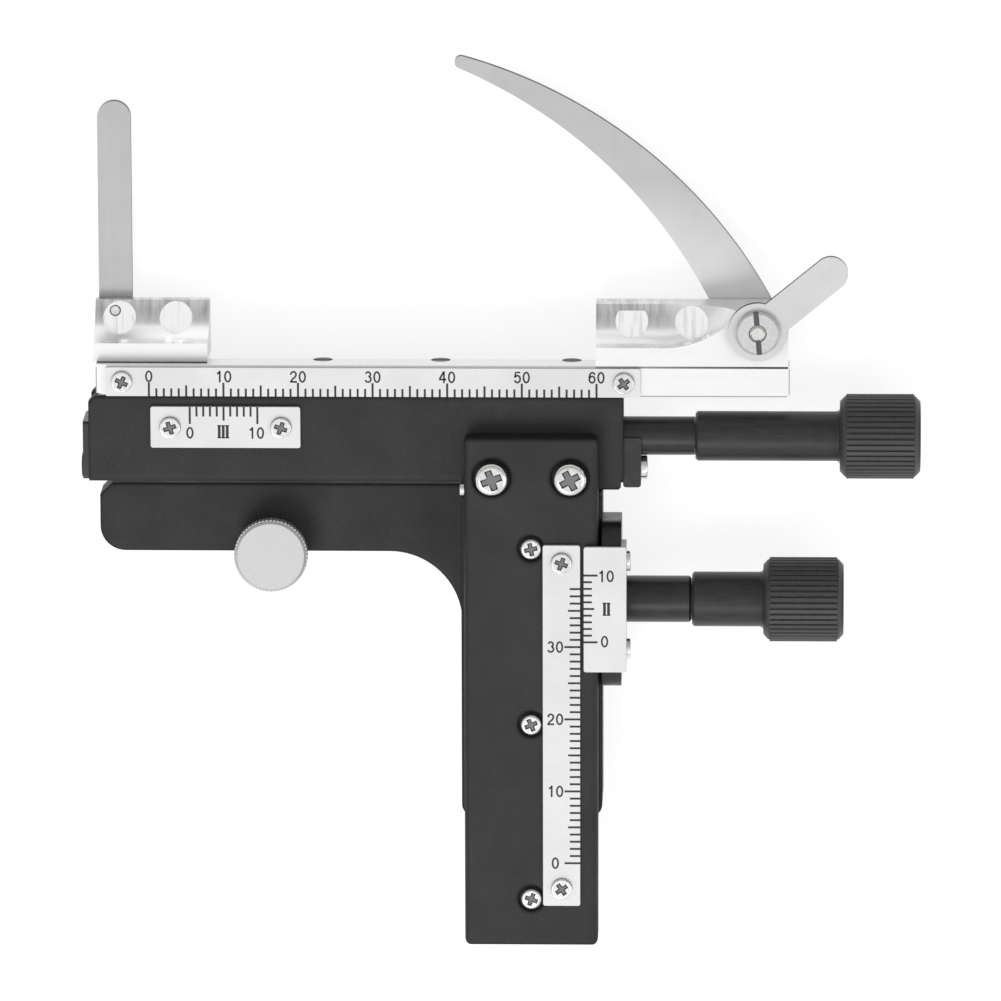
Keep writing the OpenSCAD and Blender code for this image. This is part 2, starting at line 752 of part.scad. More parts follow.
big_screw_in = 2.35;
big_screw_y = foot_front + big_screw_in;
big_screw_spacing = 10.5;
big_recess_gap = 0.42;
big_recess_depth = 0.8;
big_head_h = 2.4;
big_screw_share = 0.75;
big_screw_len = beam_h * big_screw_share;
big_shank_len = slider_top - big_recess_depth - beam_top + big_screw_len;
rack_screw_recess_gap = 0.45;
rack_screw_recess = 0.6;
rack_screw_len = slider_top - rack_screw_recess - rack_root_z - fit;
rack_screw_y = [rack_back - rack_screw_in, (rack_back + rack_front) / 2, rack_front + rack_screw_in];
groove_foot_w = rail_foot_w + 2 * slide_gap;
groove_top_w = rail_top_w + 2 * slide_gap;

module slider_section() {
    r = slider_edge_r;
    difference() {
        translate([slider_x0, slider_z]) square([slider_w, slider_h]);
        translate([slider_x0, slider_top - r]) square(r);
        translate([slider_x1 - r, slider_top - r]) square(r);
    }
    for (x = [slider_x0 + r, slider_x1 - r]) translate([x, slider_top - r]) circle(r, $fn = fine_fn);
}

module groove_section() {
    foot_z = rail_z;
    polygon([
        [upright_mid - groove_foot_w / 2, foot_z - over], [upright_mid - groove_foot_w / 2, foot_z],
        [upright_mid - groove_top_w / 2, groove_top], [upright_mid + groove_top_w / 2, groove_top],
        [upright_mid + groove_foot_w / 2, foot_z], [upright_mid + groove_foot_w / 2, foot_z - over]
    ]);
}

module y_slider() {
    len = slider_front + slider_back;
    color([0.09, 0.09, 0.095]) difference() {
        intersection() {
            along_y(-slider_front, len) slider_section();
            translate([slider_x0, -slider_front, 0]) linear_extrude(2 * slider_top)
                rounded_rect(slider_w, len, slider_corner_r);
        }
        along_y(-slider_front - over, groove_end + slider_front + over) groove_section();
        // The tongue at the back lies on the beam
        translate([slider_x0 - over, foot_front - slide_gap, 0])
            cube([slider_w + 2 * over, slider_back, beam_top]);
        // The rack lies in a shallow seat in the groove's roof
        translate([upright_mid - rack_w / 2, rack_front, 0])
            cube([rack_w, rack_back - rack_front, rack_seat_z]);
        for (side = [-half, half]) translate([upright_mid + side * big_screw_spacing, big_screw_y, 0]) {
            translate([0, 0, slider_top - big_recess_depth])
                cylinder(h = slider_h, d = large_head_d + 2 * big_recess_gap, $fn = round_fn);
            cylinder(h = 2 * slider_top, d = large_shank_d + 2 * fit, $fn = fine_fn);
        }
        for (y = rack_screw_y) translate([upright_mid, y, 0]) {
            translate([0, 0, slider_top - rack_screw_recess])
                cylinder(h = slider_h, d = small_head_d + 2 * rack_screw_recess_gap, $fn = round_fn);
            cylinder(h = 2 * slider_top, d = small_shank_d + 2 * fit, $fn = fine_fn);
        }
        translate([slider_x0, side_screw_y, side_screw_z]) rotate([0, right_angle, 0])
            cylinder(h = 2 * side_screw_len, d = tiny_shank_d, center = true, $fn = fine_fn);
        for (y = y_scale_screw_y) translate([y_scale_x, y, slider_top - scale_screw_len - fit])
            cylinder(h = slider_h, d = small_shank_d, $fn = fine_fn);
    }
}

rack_seat = 0.3;
rack_seat_z = groove_top + rack_seat;

// The rack's side view, with a gap between two teeth right over the pinion
module rack_outline() {
    lean = tan(pressure_angle);
    root_w = tooth_pitch / 2 * (1 - backlash_share) + 2 * dedendum * lean;
    tip_w = tooth_pitch / 2 * (1 - backlash_share) - 2 * gear_module * lean;
    first = ceil((rack_front + root_w - pinion_y) / tooth_pitch - half);
    last = floor((rack_back - root_w - pinion_y) / tooth_pitch - half);
    polygon(concat(
        [[rack_front, rack_seat_z], [rack_front, rack_root_z]],
        [for (k = [first:last]) let (y = pinion_y + (k + half) * tooth_pitch) for (p = [
            [-root_w / 2, rack_root_z], [-tip_w / 2, rack_tip_z],
            [tip_w / 2, rack_tip_z], [root_w / 2, rack_root_z]
        ]) [y + p[0], p[1]]],
        [[rack_back, rack_root_z], [rack_back, rack_seat_z]]
    ));
}

module y_rack() {
    color([0.72, 0.6, 0.35]) difference() {
        along_x(upright_mid - rack_w / 2, rack_w) rack_outline();
        for (y = rack_screw_y) translate([upright_mid, y, 0])
            cylinder(h = 2 * slider_top, d = small_shank_d, $fn = fine_fn);
    }
}

module rack_screws() {
    turns = [12, 24, 70];
    color([0.82, 0.82, 0.84]) for (i = [0:len(rack_screw_y) - 1])
        translate([upright_mid, rack_screw_y[i], slider_top - rack_screw_recess])
            cross_screw(small_head_d, 2 * small_head_h, rack_screw_len, turns[i]);
}

side_screw_back = 0.35;
side_screw_y = foot_front + side_screw_back;
side_screw_z = slider_z + slider_h * half;
side_screw_len = 2;
side_screw_turn = 20;

module side_screw() {
    color([0.82, 0.82, 0.84]) translate([slider_x0, side_screw_y, side_screw_z]) rotate([0, -right_angle, 0])
        cross_screw(tiny_head_d, tiny_head_h, side_screw_len, side_screw_turn);
}

scale_screw_len = 1.1;
y_scale_screw_y = [y_scale_y1 - y_scale_screw_in, y_scale_screw_in - y_scale_front];
scale_corner_r = 0.3;
scale_head_h = small_head_h;

// A scale plate with its lower left corner at the origin and a hole near each end
module scale_plate(len, w, r, screw_in) {
    difference() {
        linear_extrude(scale_t) rounded_rect(len, w, r);
        for (x = [screw_in, len - screw_in]) translate([x, w / 2, -over])
            cylinder(h = scale_t + 2 * over, d = small_shank_d + 2 * fit, $fn = fine_fn);
    }
}

module y_scale_plate() {
    color([0.85, 0.85, 0.86]) difference() {
        translate([y_scale_x - y_scale_w / 2, -y_scale_front, slider_top]) linear_extrude(scale_t)
            rounded_rect(y_scale_w, y_scale_len, scale_corner_r);
        for (y = y_scale_screw_y) translate([y_scale_x, y, 0])
            cylinder(h = 2 * slider_top, d = small_shank_d + 2 * fit, $fn = fine_fn);
    }
}

module y_scale_screws() {
    turns = [70, 35];
    color([0.82, 0.82, 0.84]) for (i = [0:1]) translate([y_scale_x, y_scale_screw_y[i], slider_top + scale_t])
        cross_screw(small_head_d, scale_head_h, scale_t + scale_screw_len, turns[i]);
}

// Beam

keeper_t = 2.4;
keeper_h = 6.4;
keeper_z = spindle_z - keeper_h / 2;
keeper_y0 = foot_front + edge_chamfer * half;
keeper_screw_d = 3.3;
keeper_screw_y = spindle_y - x_bush_d / 2 - keeper_screw_d / 2 - slide_gap;
keeper_hole_d = keeper_screw_d * shank_share + 2 * fit;
keeper_over = 0.3;
keeper_head_h = 0.9;
keeper_turn = 15;
end_plate_t = 0.8;
end_plate_in = 1.2;
end_plate_y1 = tongue_y - end_plate_in;
end_head_h = 0.35;
wall_screw_y = (beam_front + cavity_front) / 2;
wall_screw_len = 4;
beam_edge_r = 0.8;
beam_corner_r = 0.4;
beam_end_chamfer = 0.8;

module beam_section() {
    r = beam_edge_r;
    neck = tongue_neck / 2 + slide_gap;
    wide = tongue_wide / 2 + slide_gap;
    difference() {
        translate([beam_front, beam_z]) square([beam_w, beam_h]);
        translate([beam_front, beam_top - r]) square(r);
        translate([cavity_front, spindle_z - cavity_h / 2])
            square([tongue_y - slide_gap - cavity_front, cavity_h]);
        polygon([
            [tongue_y - 2 * slide_gap, spindle_z - wide], [tongue_y - slide_gap, spindle_z - wide],
            [bar_y0, spindle_z - neck], [bar_y0, spindle_z + neck],
            [tongue_y - slide_gap, spindle_z + wide], [tongue_y - 2 * slide_gap, spindle_z + wide]
        ]);
    }
    translate([beam_front + r, beam_top - r]) circle(r, $fn = fine_fn);
}

module beam() {
    color([0.09, 0.09, 0.095]) difference() {
        union() {
            along_x(beam_x0, beam_len) beam_section();
            translate([0, 0, foot_z]) linear_extrude(beam_top - foot_z) polygon([
                [foot_x0, foot_front], [foot_x1 - edge_chamfer, foot_front],
                [foot_x1, foot_front + edge_chamfer],
                [foot_x1, cavity_front], [foot_x0, cavity_front]
            ]);
        }
        // The left end's back corner is bevelled
        translate([beam_x0, beam_back, 0]) rotate([0, 0, eighth_turn])
            translate([-beam_end_chamfer, -beam_end_chamfer * half * sqrt(2), 0])
            cube([2 * beam_end_chamfer, 2 * beam_end_chamfer, 2 * beam_top]);
        for (side = [-half, half])
            translate([upright_mid + side * big_screw_spacing, big_screw_y, beam_top - big_screw_len - fit])
            cylinder(h = beam_h, d = large_shank_d + 2 * fit, $fn = fine_fn);
        rod_x(beam_x0 - over, wall_screw_len + over, keeper_hole_d, wall_screw_y, spindle_z);
        rod_x(beam_x1 - wall_screw_len, wall_screw_len + over, keeper_hole_d, keeper_screw_y, spindle_z);
        for (x = x_vernier_screw_x) translate([x, x_vernier_mid_y, beam_top - scale_screw_len - fit])
            cylinder(h = beam_h, d = small_shank_d, $fn = fine_fn);
    }
}

module beam_screws() {
    turns = [20, 28];
    color([0.85, 0.85, 0.86]) for (i = [0:1])
        translate([upright_mid + (i - half) * big_screw_spacing, big_screw_y, slider_top - big_recess_depth])
            cross_screw(large_head_d, big_head_h, big_shank_len, turns[i]);
}

module beam_end_plate() {
    color([0.06, 0.06, 0.065]) difference() {
        along_x(beam_x0 - end_plate_t, end_plate_t)
            translate([beam_front + edge_chamfer, beam_z + edge_chamfer])
            rounded_rect(end_plate_y1 - beam_front - edge_chamfer, beam_h - 2 * edge_chamfer, beam_corner_r);
        rod_x(beam_x0 - end_plate_t - over, end_plate_t + 2 * over, x_tail_d + 2 * fit, spindle_y, spindle_z);
        rod_x(beam_x0 - end_plate_t - over, end_plate_t + 2 * over, keeper_hole_d, wall_screw_y, spindle_z);
    }
}

module end_plate_screw() {
    color([0.12, 0.12, 0.13]) translate([beam_x0 - end_plate_t, wall_screw_y, spindle_z])
        rotate([0, -right_angle, 0])
        cross_screw(keeper_screw_d, end_head_h, end_plate_t + wall_screw_len - fit, eighth_turn);
}

module keeper_plate() {
    notch_d = x_bush_d + 2 * fit;
    color([0.08, 0.08, 0.085]) difference() {
        translate([beam_x1, keeper_y0, keeper_z]) linear_extrude(keeper_h)
            rounded_rect(keeper_t, spindle_y + keeper_over - keeper_y0, beam_corner_r);
        rod_x(beam_x1 - over, keeper_t + 2 * over, notch_d, spindle_y, spindle_z);
        rod_x(beam_x1 - over, keeper_t + 2 * over, keeper_hole_d, keeper_screw_y, spindle_z);
    }
}

module keeper_screw() {
    color([0.82, 0.82, 0.84]) translate([beam_x1 + keeper_t, keeper_screw_y, spindle_z])
        rotate([0, right_angle, 0])
        cross_screw(keeper_screw_d, keeper_head_h, keeper_t + wall_screw_len - fit, keeper_turn);
}

flange_t = 1.5;

module x_bush() {
    flange_d = cavity_h - 2 * fit;
    end_x = beam_x1 + x_bush_len;
    color([0.06, 0.06, 0.065]) difference() {
        union() {
            rod_x(beam_x1 - flange_t, flange_t, flange_d, spindle_y, spindle_z);
            rod_x(beam_x1 - flange_t, flange_t + x_bush_len, x_bush_d, spindle_y, spindle_z);
        }
        rod_x(beam_x1 - flange_t - over, end_x, x_journal_d + 2 * fit, spindle_y, spindle_z);
    }
}

x_vernier_in = 8.4;
x_vernier_back = 4.1;
x_vernier_x0 = beam_x0 + x_vernier_in;
x_vernier_mid_y = beam_back - x_vernier_back;
vernier_screw_in = 2.6;
x_vernier_screw_x = [x_vernier_x0 + vernier_screw_in, x_vernier_x0 + x_vernier_len - vernier_screw_in];

module x_vernier_plate() {
    color([0.85, 0.85, 0.86]) translate([x_vernier_x0, x_vernier_mid_y - x_vernier_w / 2, beam_top])
        scale_plate(x_vernier_len, x_vernier_w, vernier_corner_r, vernier_screw_in);
}

module x_vernier_screws() {
    turns = [20, 70];
    color([0.82, 0.82, 0.84]) for (i = [0:1])
        translate([x_vernier_screw_x[i], x_vernier_mid_y, beam_top + scale_t])
        cross_screw(small_head_d, scale_head_h, scale_t + scale_screw_len, turns[i]);
}

// X spindle and nut

x_tail_d = 2;
x_knob_x = beam_x1 + x_bush_len + 2 * fit;
x_spindle_end = x_knob_x + x_sleeve_len * knob_grip_share;
thread_x0 = beam_x0 + 2 * edge_chamfer;
thread_x1 = beam_x1 - flange_t - 2 * fit;
thread_step = 15;
crest_share = 0.11;
root_share = 0.26;

// The spindle's cross section: round crests with sloping flanks, widened by a gap
module thread_outline(gap) {
    crest = thread_d / 2 + gap;
    root = root_d / 2 + gap;
    widen = gap / crest * half_turn / PI;
    turn = full_turn / thread_starts;
    crest_half = turn * crest_share + widen;
    root_half = turn * root_share + widen;
    polygon([for (k = [0:thread_starts - 1]) for (p = [
        [root, -root_half], [crest, -crest_half], [crest, crest_half], [root, root_half], [root, turn / 2]
    ]) p[0] * [cos(k * turn + p[1]), sin(k * turn + p[1])]]);
}

// The thread between two places on the spindle, in one phase with the whole spindle
module thread_form(x0, x1, gap) {
    twist = full_turn * (x1 - x0) / thread_lead;
    translate([x0, spindle_y, spindle_z]) rotate([0, right_angle, 0])
        rotate([0, 0, full_turn * (x0 - thread_x0) / thread_lead])
            linear_extrude(x1 - x0, twist = -twist, slices = ceil(twist / thread_step)) thread_outline(gap);
}

module x_spindle() {
    color([0.66, 0.66, 0.68]) union() {
        rod_x(beam_x0 - end_plate_t + fit, end_plate_t + thread_x0 - beam_x0, x_tail_d, spindle_y, spindle_z);
        thread_form(thread_x0, thread_x1, 0);
        rod_x(thread_x1 - fit, x_spindle_end - thread_x1 + fit, x_journal_d, spindle_y, spindle_z);
    }
}

module x_knob() {
    color([0.07, 0.07, 0.075]) translate([x_knob_x, spindle_y, spindle_z])
        drive_knob(x_sleeve_d, x_sleeve_len, x_journal_d, x_spindle_end - x_knob_x);
}

nut_h = tongue_wide - 2 * slide_gap;
nut_screw_d = 1.2;
nut_screw_share = 0.3;
nut_screw_drop = 0.6;

module spindle_nut() {
    nut_x0 = nut_x - nut_len / 2;
    color([0.75, 0.62, 0.36]) difference() {
        translate([nut_x0, spindle_y - root_d * quarter, spindle_z - nut_h / 2])
            cube([nut_len, tongue_y - spindle_y + root_d * quarter, nut_h]);
        thread_form(nut_x0 - thread_gap, nut_x0 + nut_len + thread_gap, thread_gap);
    }
}

// Slide bar

tongue_x1 = beam_x1 - 4 * edge_chamfer;
tongue_x0 = tongue_x1 - tongue_len;
tongue_screw_share = [0.11, 0.47, 0.87];
tongue_screw_lift = 0.6;
tongue_screw_z = spindle_z + tongue_screw_lift;
tongue_screw_d = 2.6;

module slide_bar() {
    c = bar_corner;
    color([0.86, 0.86, 0.87]) difference() {
        intersection() {
            along_x(bar_x0, bar_len) polygon([
                [bar_y0, bar_z], [bar_y1 - bar_bevel_w, bar_z], [bar_y1, bar_z + bar_bevel_h],
                [bar_y1, bar_top], [bar_y0, bar_top]
            ]);
            linear_extrude(2 * bar_top) polygon([
                [bar_x0 + c, bar_y0], [bar_x1 - c * third, bar_y0], [bar_x1, bar_y0 + c * third],
                [bar_x1, bar_y1], [bar_x0, bar_y1], [bar_x0, bar_y0 + c * quarter]
            ]);
        }
        tongue_screw_places() flush_hole(tongue_screw_d, bar_w + tongue_t * half);
        for (x = x_strip_screw_x) translate([x, x_scale_mid_y, bar_top - scale_screw_len - fit])
            cylinder(h = bar_h, d = small_shank_d, $fn = fine_fn);
        block_screw_places() flush_hole(tiny_head_d, bar_w + block_screw_in);
    }
}

// Puts a screw shape at each screw of the tongue, with +Z turned to +Y
module tongue_screw_places() {
    for (s = tongue_screw_share) translate([tongue_x0 + s * tongue_len, bar_y1, tongue_screw_z])
        rotate([-right_angle, 0, 0]) children();
}

module bar_tongue() {
    color([0.8, 0.8, 0.81]) difference() {
        along_x(tongue_x0, tongue_len) polygon([
            [tongue_y, spindle_z - tongue_wide / 2], [bar_y0, spindle_z - tongue_neck / 2],
            [bar_y0, spindle_z + tongue_neck / 2], [tongue_y, spindle_z + tongue_wide / 2]
        ]);
        tongue_screw_places() flush_hole(tongue_screw_d, bar_w + tongue_t * half);
        nut_screw_places() flush_hole(nut_screw_d, 2 * tongue_t);
    }
}

module tongue_screws() {
    color([0.45, 0.45, 0.46]) tongue_screw_places() flush_screw(tongue_screw_d, bar_w + tongue_t * half);
}

// Puts a screw shape at each screw of the nut, with +Z turned to +Y
module nut_screw_places() {
    for (side = [-nut_screw_share, nut_screw_share])
        translate([nut_x + side * nut_len, bar_y0, spindle_z - nut_screw_drop])
        rotate([-right_angle, 0, 0]) children();
}

module nut_screws() {
    color([0.6, 0.6, 0.62]) nut_screw_places() flush_screw(nut_screw_d, tongue_t);
}

x_strip_screw_x = [x_scale_x0 + scale_screw_in, x_scale_x0 + x_scale_len - scale_screw_in];

module x_scale_strip() {
    color([0.87, 0.87, 0.88]) translate([x_scale_x0, bar_y0, bar_top])
        scale_plate(x_scale_len, x_scale_w, scale_corner_r, scale_screw_in);
}

module x_strip_screws() {
    turns = [65, 35];
    color([0.82, 0.82, 0.84]) for (i = [0:1])
        translate([x_strip_screw_x[i], x_scale_mid_y, bar_top + scale_t])
        cross_screw(small_head_d, scale_head_h, scale_t + scale_screw_len, turns[i]);
}

// Slide holder blocks

block_screw_in = 1.4;
block_screw_z = (bar_z + bar_top) / 2;
block_screw_side = 2.4;

// Puts a screw shape at each screw that holds a block on the bar, with +Z turned to -Y
module block_screw_places() {
    for (x = [left_x0 + 2 * block_screw_side, left_x1 - block_screw_side,
              right_x0 + block_screw_side, right_x1 - 2 * block_screw_side])
        translate([x, bar_y0, block_screw_z]) rotate([right_angle, 0, 0]) children();
}

module block_screws() {
    color([0.6, 0.6, 0.62]) block_screw_places() flush_screw(tiny_head_d, bar_w + block_screw_in - fit);
}

// The hollow cut's side view: round below, open above
module scoop_section(top) {
    circle(scoop_r, $fn = round_fn);
    translate([-scoop_r, 0]) square([2 * scoop_r, top]);
}

pocket_lean = 10;
pocket_rim = pocket_d / 2 * sin(pocket_lean);
pocket_y = block_y1 - pocket_d / 2 - edge_chamfer;
left_pocket_x = [3.3, 10.9];
right_pocket_x = [4.8, 12.8];
right_pocket_in = [-0.3, 0.35];
right_pocket_up = [3.1, 0];
pocket_floor_z = block_z + pocket_floor;

// A round pocket that leans back, in front of the pockets' line and above their floor by given distances
module pocket(x, inset, up) {
    translate([x, pocket_y - inset, pocket_floor_z + pocket_rim + up]) rotate([-pocket_lean, 0, 0])
        cylinder(h = right_top, d = pocket_d, $fn = round_fn);
}

module left_block() {
    scoop_y = bar_y1 + strip_w + scoop_r;
    color([0.84, 0.84, 0.85]) difference() {
        translate([left_x0, bar_y1, block_z]) cube([left_len, block_w, left_top - block_z]);
        along_x(left_x0 - over, left_len + 2 * over) translate([scoop_y, left_top]) scoop_section(left_top);
        for (x = left_pocket_x) pocket(left_x0 + x, 0, 0);
        finger_screw_places()
            cylinder(h = 2 * finger_screw_len, d = finger_shank_d, center = true, $fn = fine_fn);
        block_screw_places() flush_hole(tiny_head_d, bar_w + block_screw_in);
    }
}

scoop_run = 9;
scoop_turn_r = 6.5;
spring_seat_d = 3.9;
spring_seat_share = 0.78;
spring_seat_top = right_top * spring_seat_share;

module right_block() {
    scoop_y = bar_y1 + strip_w + scoop_r;
    color([0.84, 0.84, 0.85]) difference() {
        translate([right_x0, bar_y1, block_z]) cube([right_len, block_w, right_top - block_z]);
        along_x(right_x0 - over, scoop_run + over) translate([scoop_y, right_top]) scoop_section(right_top);
        // The cutter leaves the block on a round path
        translate([right_x0 + scoop_run, scoop_y + scoop_turn_r, right_top]) rotate([0, 0, -right_angle])
            rotate_extrude(angle = right_angle, $fn = round_fn)
                intersection() {
                    translate([scoop_turn_r, 0]) scoop_section(right_top);
                    translate([0, -right_top]) square([2 * right_len, 2 * right_top]);
                }
        for (i = [0:1]) pocket(right_x0 + right_pocket_x[i], right_pocket_in[i], right_pocket_up[i]);
        translate([pivot_x, pivot_y, 0]) {
            cylinder(h = 2 * right_top, d = stud_d + 2 * fit, $fn = round_fn);
            cylinder(h = spring_seat_top, d = spring_seat_d, $fn = round_fn);
        }
        block_screw_places() flush_hole(tiny_head_d, bar_w + block_screw_in);
    }
}

// Fingers

finger_edge_in = 0.35;
finger_x = left_x0 + finger_w / 2 + finger_edge_in;
finger_root = 5.6;
finger_screw_d = 2.2;
finger_shank_d = finger_screw_d * shank_share;
finger_screw_len = pocket_floor_z + pocket_rim - finger_z + 2 * fit;
finger_screw_in = [1.6, 5.2];

module left_finger() {
    y1 = bar_y1 + finger_len;
    tip_r = finger_w / 2;
    color([0.74, 0.74, 0.75]) difference() {
        translate([0, 0, finger_z]) linear_extrude(finger_t) {
            translate([finger_x - tip_r, block_y1 - finger_root])
                square([finger_w, y1 - tip_r - block_y1 + finger_root]);
            translate([finger_x, y1 - tip_r]) circle(tip_r, $fn = round_fn);
        }
        finger_screw_places() flush_hole(finger_screw_d, 4 * finger_t);
    }
}

// Puts a screw shape under each screw of the fixed finger, with +Z turned down
module finger_screw_places() {
    for (y = finger_screw_in) translate([finger_x, block_y1 - y, finger_z])
        rotate([half_turn, 0, 0]) children();
}

module finger_screws() {
    color([0.3, 0.3, 0.31]) finger_screw_places() flush_screw(finger_screw_d, finger_screw_len);
}

// The curved finger's outer edge passes beyond the pivot, and its inner edge passes short
// of it. Both centres follow from the radii, and the two edges meet at the tip.
hub_d = 5.3;
curve_tip_d = 1.7;
curve_root_angle = 27.7;
curve_sweep = 46.6;
curve_tip_angle = curve_root_angle + curve_sweep;
root_beyond = 2.68;
root_short = 5;
curve_in_share = 0.993;
curve_in_r = curve_out_r * curve_in_share;
curve_out_c = (root_beyond - curve_out_r) * [cos(curve_root_angle), sin(curve_root_angle)];
inner_root_angle = 23.25;
inner_root = -root_short * [cos(inner_root_angle), sin(inner_root_angle)];
inner_tip = curve_out_c + (curve_out_r - curve_tip_d) * [cos(curve_tip_angle), sin(curve_tip_angle)];
inner_chord = inner_tip - inner_root;
inner_mid = (inner_root + inner_tip) / 2;
inner_reach = sqrt(pow(curve_in_r, 2) - pow(norm(inner_chord) / 2, 2)) / norm(inner_chord);
curve_in_c = inner_mid + inner_reach * [-inner_chord[1], inner_chord[0]];

// A ring sector between two angles, as a plain polygon with one point each few degrees
module sector(r, a0, a1) {
    steps = 8;
    rim = [for (i = [0:steps]) let (a = a0 + (a1 - a0) * i / steps) r * [cos(a), sin(a)]];
    polygon(concat([[0, 0]], rim));
}

module curved_outline() {
    tip_mid_r = curve_out_r - curve_tip_d / 2;
    difference() {
        intersection() {
            translate(curve_out_c) circle(curve_out_r, $fn = 4 * round_fn);
            translate(curve_out_c) sector(2 * curve_out_r, curve_root_angle, curve_tip_angle);
        }
        translate(curve_in_c) circle(curve_in_r, $fn = 4 * round_fn);
    }
    translate(curve_out_c + tip_mid_r * [cos(curve_tip_angle), sin(curve_tip_angle)])
        circle(d = curve_tip_d, $fn = fine_fn);
    circle(d = hub_d, $fn = round_fn);
}

module curved_finger() {
    color([0.72, 0.72, 0.73]) translate([pivot_x, pivot_y, finger_z]) difference() {
        linear_extrude(finger_t) curved_outline();
        translate([0, 0, -over]) cylinder(h = finger_t + 2 * over, d = stud_d, $fn = round_fn);
    }
}

ring_slot_share = 0.12;
ring_slot_turn = 95;
lever_z = right_top + 2 * fit;
stud_out = 0.2;
stud_top = lever_z + lever_t + ring_nut_h + stud_out;
stud_head_t = 0.5;
stud_head_d = stud_d * 1.5;

module pivot_stud() {
    color([0.78, 0.78, 0.8]) translate([pivot_x, pivot_y, 0]) union() {
        translate([0, 0, finger_z])
            cylinder(h = stud_top - finger_z - edge_chamfer, d = stud_d, $fn = round_fn);
        translate([0, 0, stud_top - edge_chamfer])
            cylinder(h = edge_chamfer, d1 = stud_d, d2 = stud_d - 2 * edge_chamfer, $fn = round_fn);
        // The stud's collar lies on the finger inside the spring
        translate([0, 0, finger_top]) cylinder(h = stud_head_t, d = stud_head_d, $fn = round_fn);
    }
}

module lever() {
    color([0.76, 0.76, 0.77]) translate([pivot_x, pivot_y, lever_z]) difference() {
        linear_extrude(lever_t) {
            circle(d = eye_d, $fn = round_fn);
            rotate([0, 0, lever_angle]) {
                translate([0, -lever_w / 2]) square([lever_len - lever_w / 2, lever_w]);
                translate([lever_len - lever_w / 2, 0]) circle(d = lever_w, $fn = round_fn);
            }
        }
        translate([0, 0, -over]) cylinder(h = lever_t + 2 * over, d = stud_d, $fn = round_fn);
    }
}

module slotted_nut() {
    slot_w = ring_nut_d * ring_slot_share;
    r = edge_chamfer;
    color([0.8, 0.8, 0.81]) translate([pivot_x, pivot_y, lever_z + lever_t]) difference() {
        union() {
            cylinder(h = ring_nut_h - r, d = ring_nut_d, $fn = round_fn);
            translate([0, 0, ring_nut_h - r])
                cylinder(h = r, d1 = ring_nut_d, d2 = ring_nut_d - 2 * r, $fn = round_fn);
        }
        translate([0, 0, -over]) cylinder(h = ring_nut_h + 2 * over, d = stud_d + 4 * fit, $fn = round_fn);
        rotate([0, 0, ring_slot_turn]) translate([-ring_nut_d, -slot_w / 2, ring_nut_h * third])
            cube([2 * ring_nut_d, slot_w, ring_nut_h]);
    }
}

// Torsion spring: one unbroken wire, wound round the stud with a straight leg at each end

spring_wire = 0.4;
spring_coil_r = 1.6;
spring_turns = 6;
spring_steps = 16;
spring_sides = 6;
spring_z0 = finger_top + stud_head_t + spring_wire;
spring_rise = (spring_seat_top - spring_wire - spring_z0) / spring_turns;

function coil_point(i) =
    let (a = full_turn * i / spring_steps)
    [spring_coil_r * cos(a), spring_coil_r * sin(a), spring_rise * i / spring_steps];
coil = [for (i = [0:spring_turns * spring_steps]) coil_point(i)];

// A round wire along a list of points that never turns sharply
module wire(path, d, sides) {
    n = len(path);
    rings = [for (i = [0:n - 1])
        let (
            t = path[min(i + 1, n - 1)] - path[max(i - 1, 0)],
            along = t / norm(t),
            across = cross(along, [0, 0, 1]),
            side = across / norm(across),
            up = cross(side, along)
        )
        for (k = [0:sides - 1]) let (a = full_turn * k / sides) path[i] + d / 2 * (cos(a) * side + sin(a) * up)
    ];
    faces = concat(
        [[for (k = [0:sides - 1]) k]],
        [[for (k = [sides - 1:-1:0]) (n - 1) * sides + k]],
        [for (i = [0:n - 2]) for (k = [0:sides - 1]) let (a = i * sides + k, b = i * sides + (k + 1) % sides)
            each [[a, a + sides, b + sides], [a, b + sides, b]]]
    );
    polyhedron(rings, faces);
}

module torsion_spring() {
    color([0.6, 0.6, 0.62]) translate([pivot_x, pivot_y, spring_z0]) wire(coil, spring_wire, spring_sides);
}

base_bracket();
locating_pins();
bearing_plate();
bearing_plate_screws();
y_bush();
pinion_shaft();
y_knob();
thumb_washer();
thumb_screw();
vernier_bracket();
vernier_bracket_screws();
y_slider();
y_rack();
rack_screws();
side_screw();
y_scale_plate();
y_scale_screws();
beam();
beam_screws();
beam_end_plate();
end_plate_screw();
keeper_plate();
keeper_screw();
x_bush();
x_vernier_plate();
x_vernier_screws();
x_spindle();
x_knob();
slide_bar();
bar_tongue();
tongue_screws();
spindle_nut();
nut_screws();
x_scale_strip();
x_strip_screws();
left_block();
right_block();
block_screws();
left_finger();
finger_screws();
curved_finger();
pivot_stud();
lever();
slotted_nut();
torsion_spring();
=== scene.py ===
"""Looks of the mechanical microscope stage. Everything is in metres, in the CAD frame."""

import json
import math

import bmesh
import bpy
from mathutils import Matrix, Vector


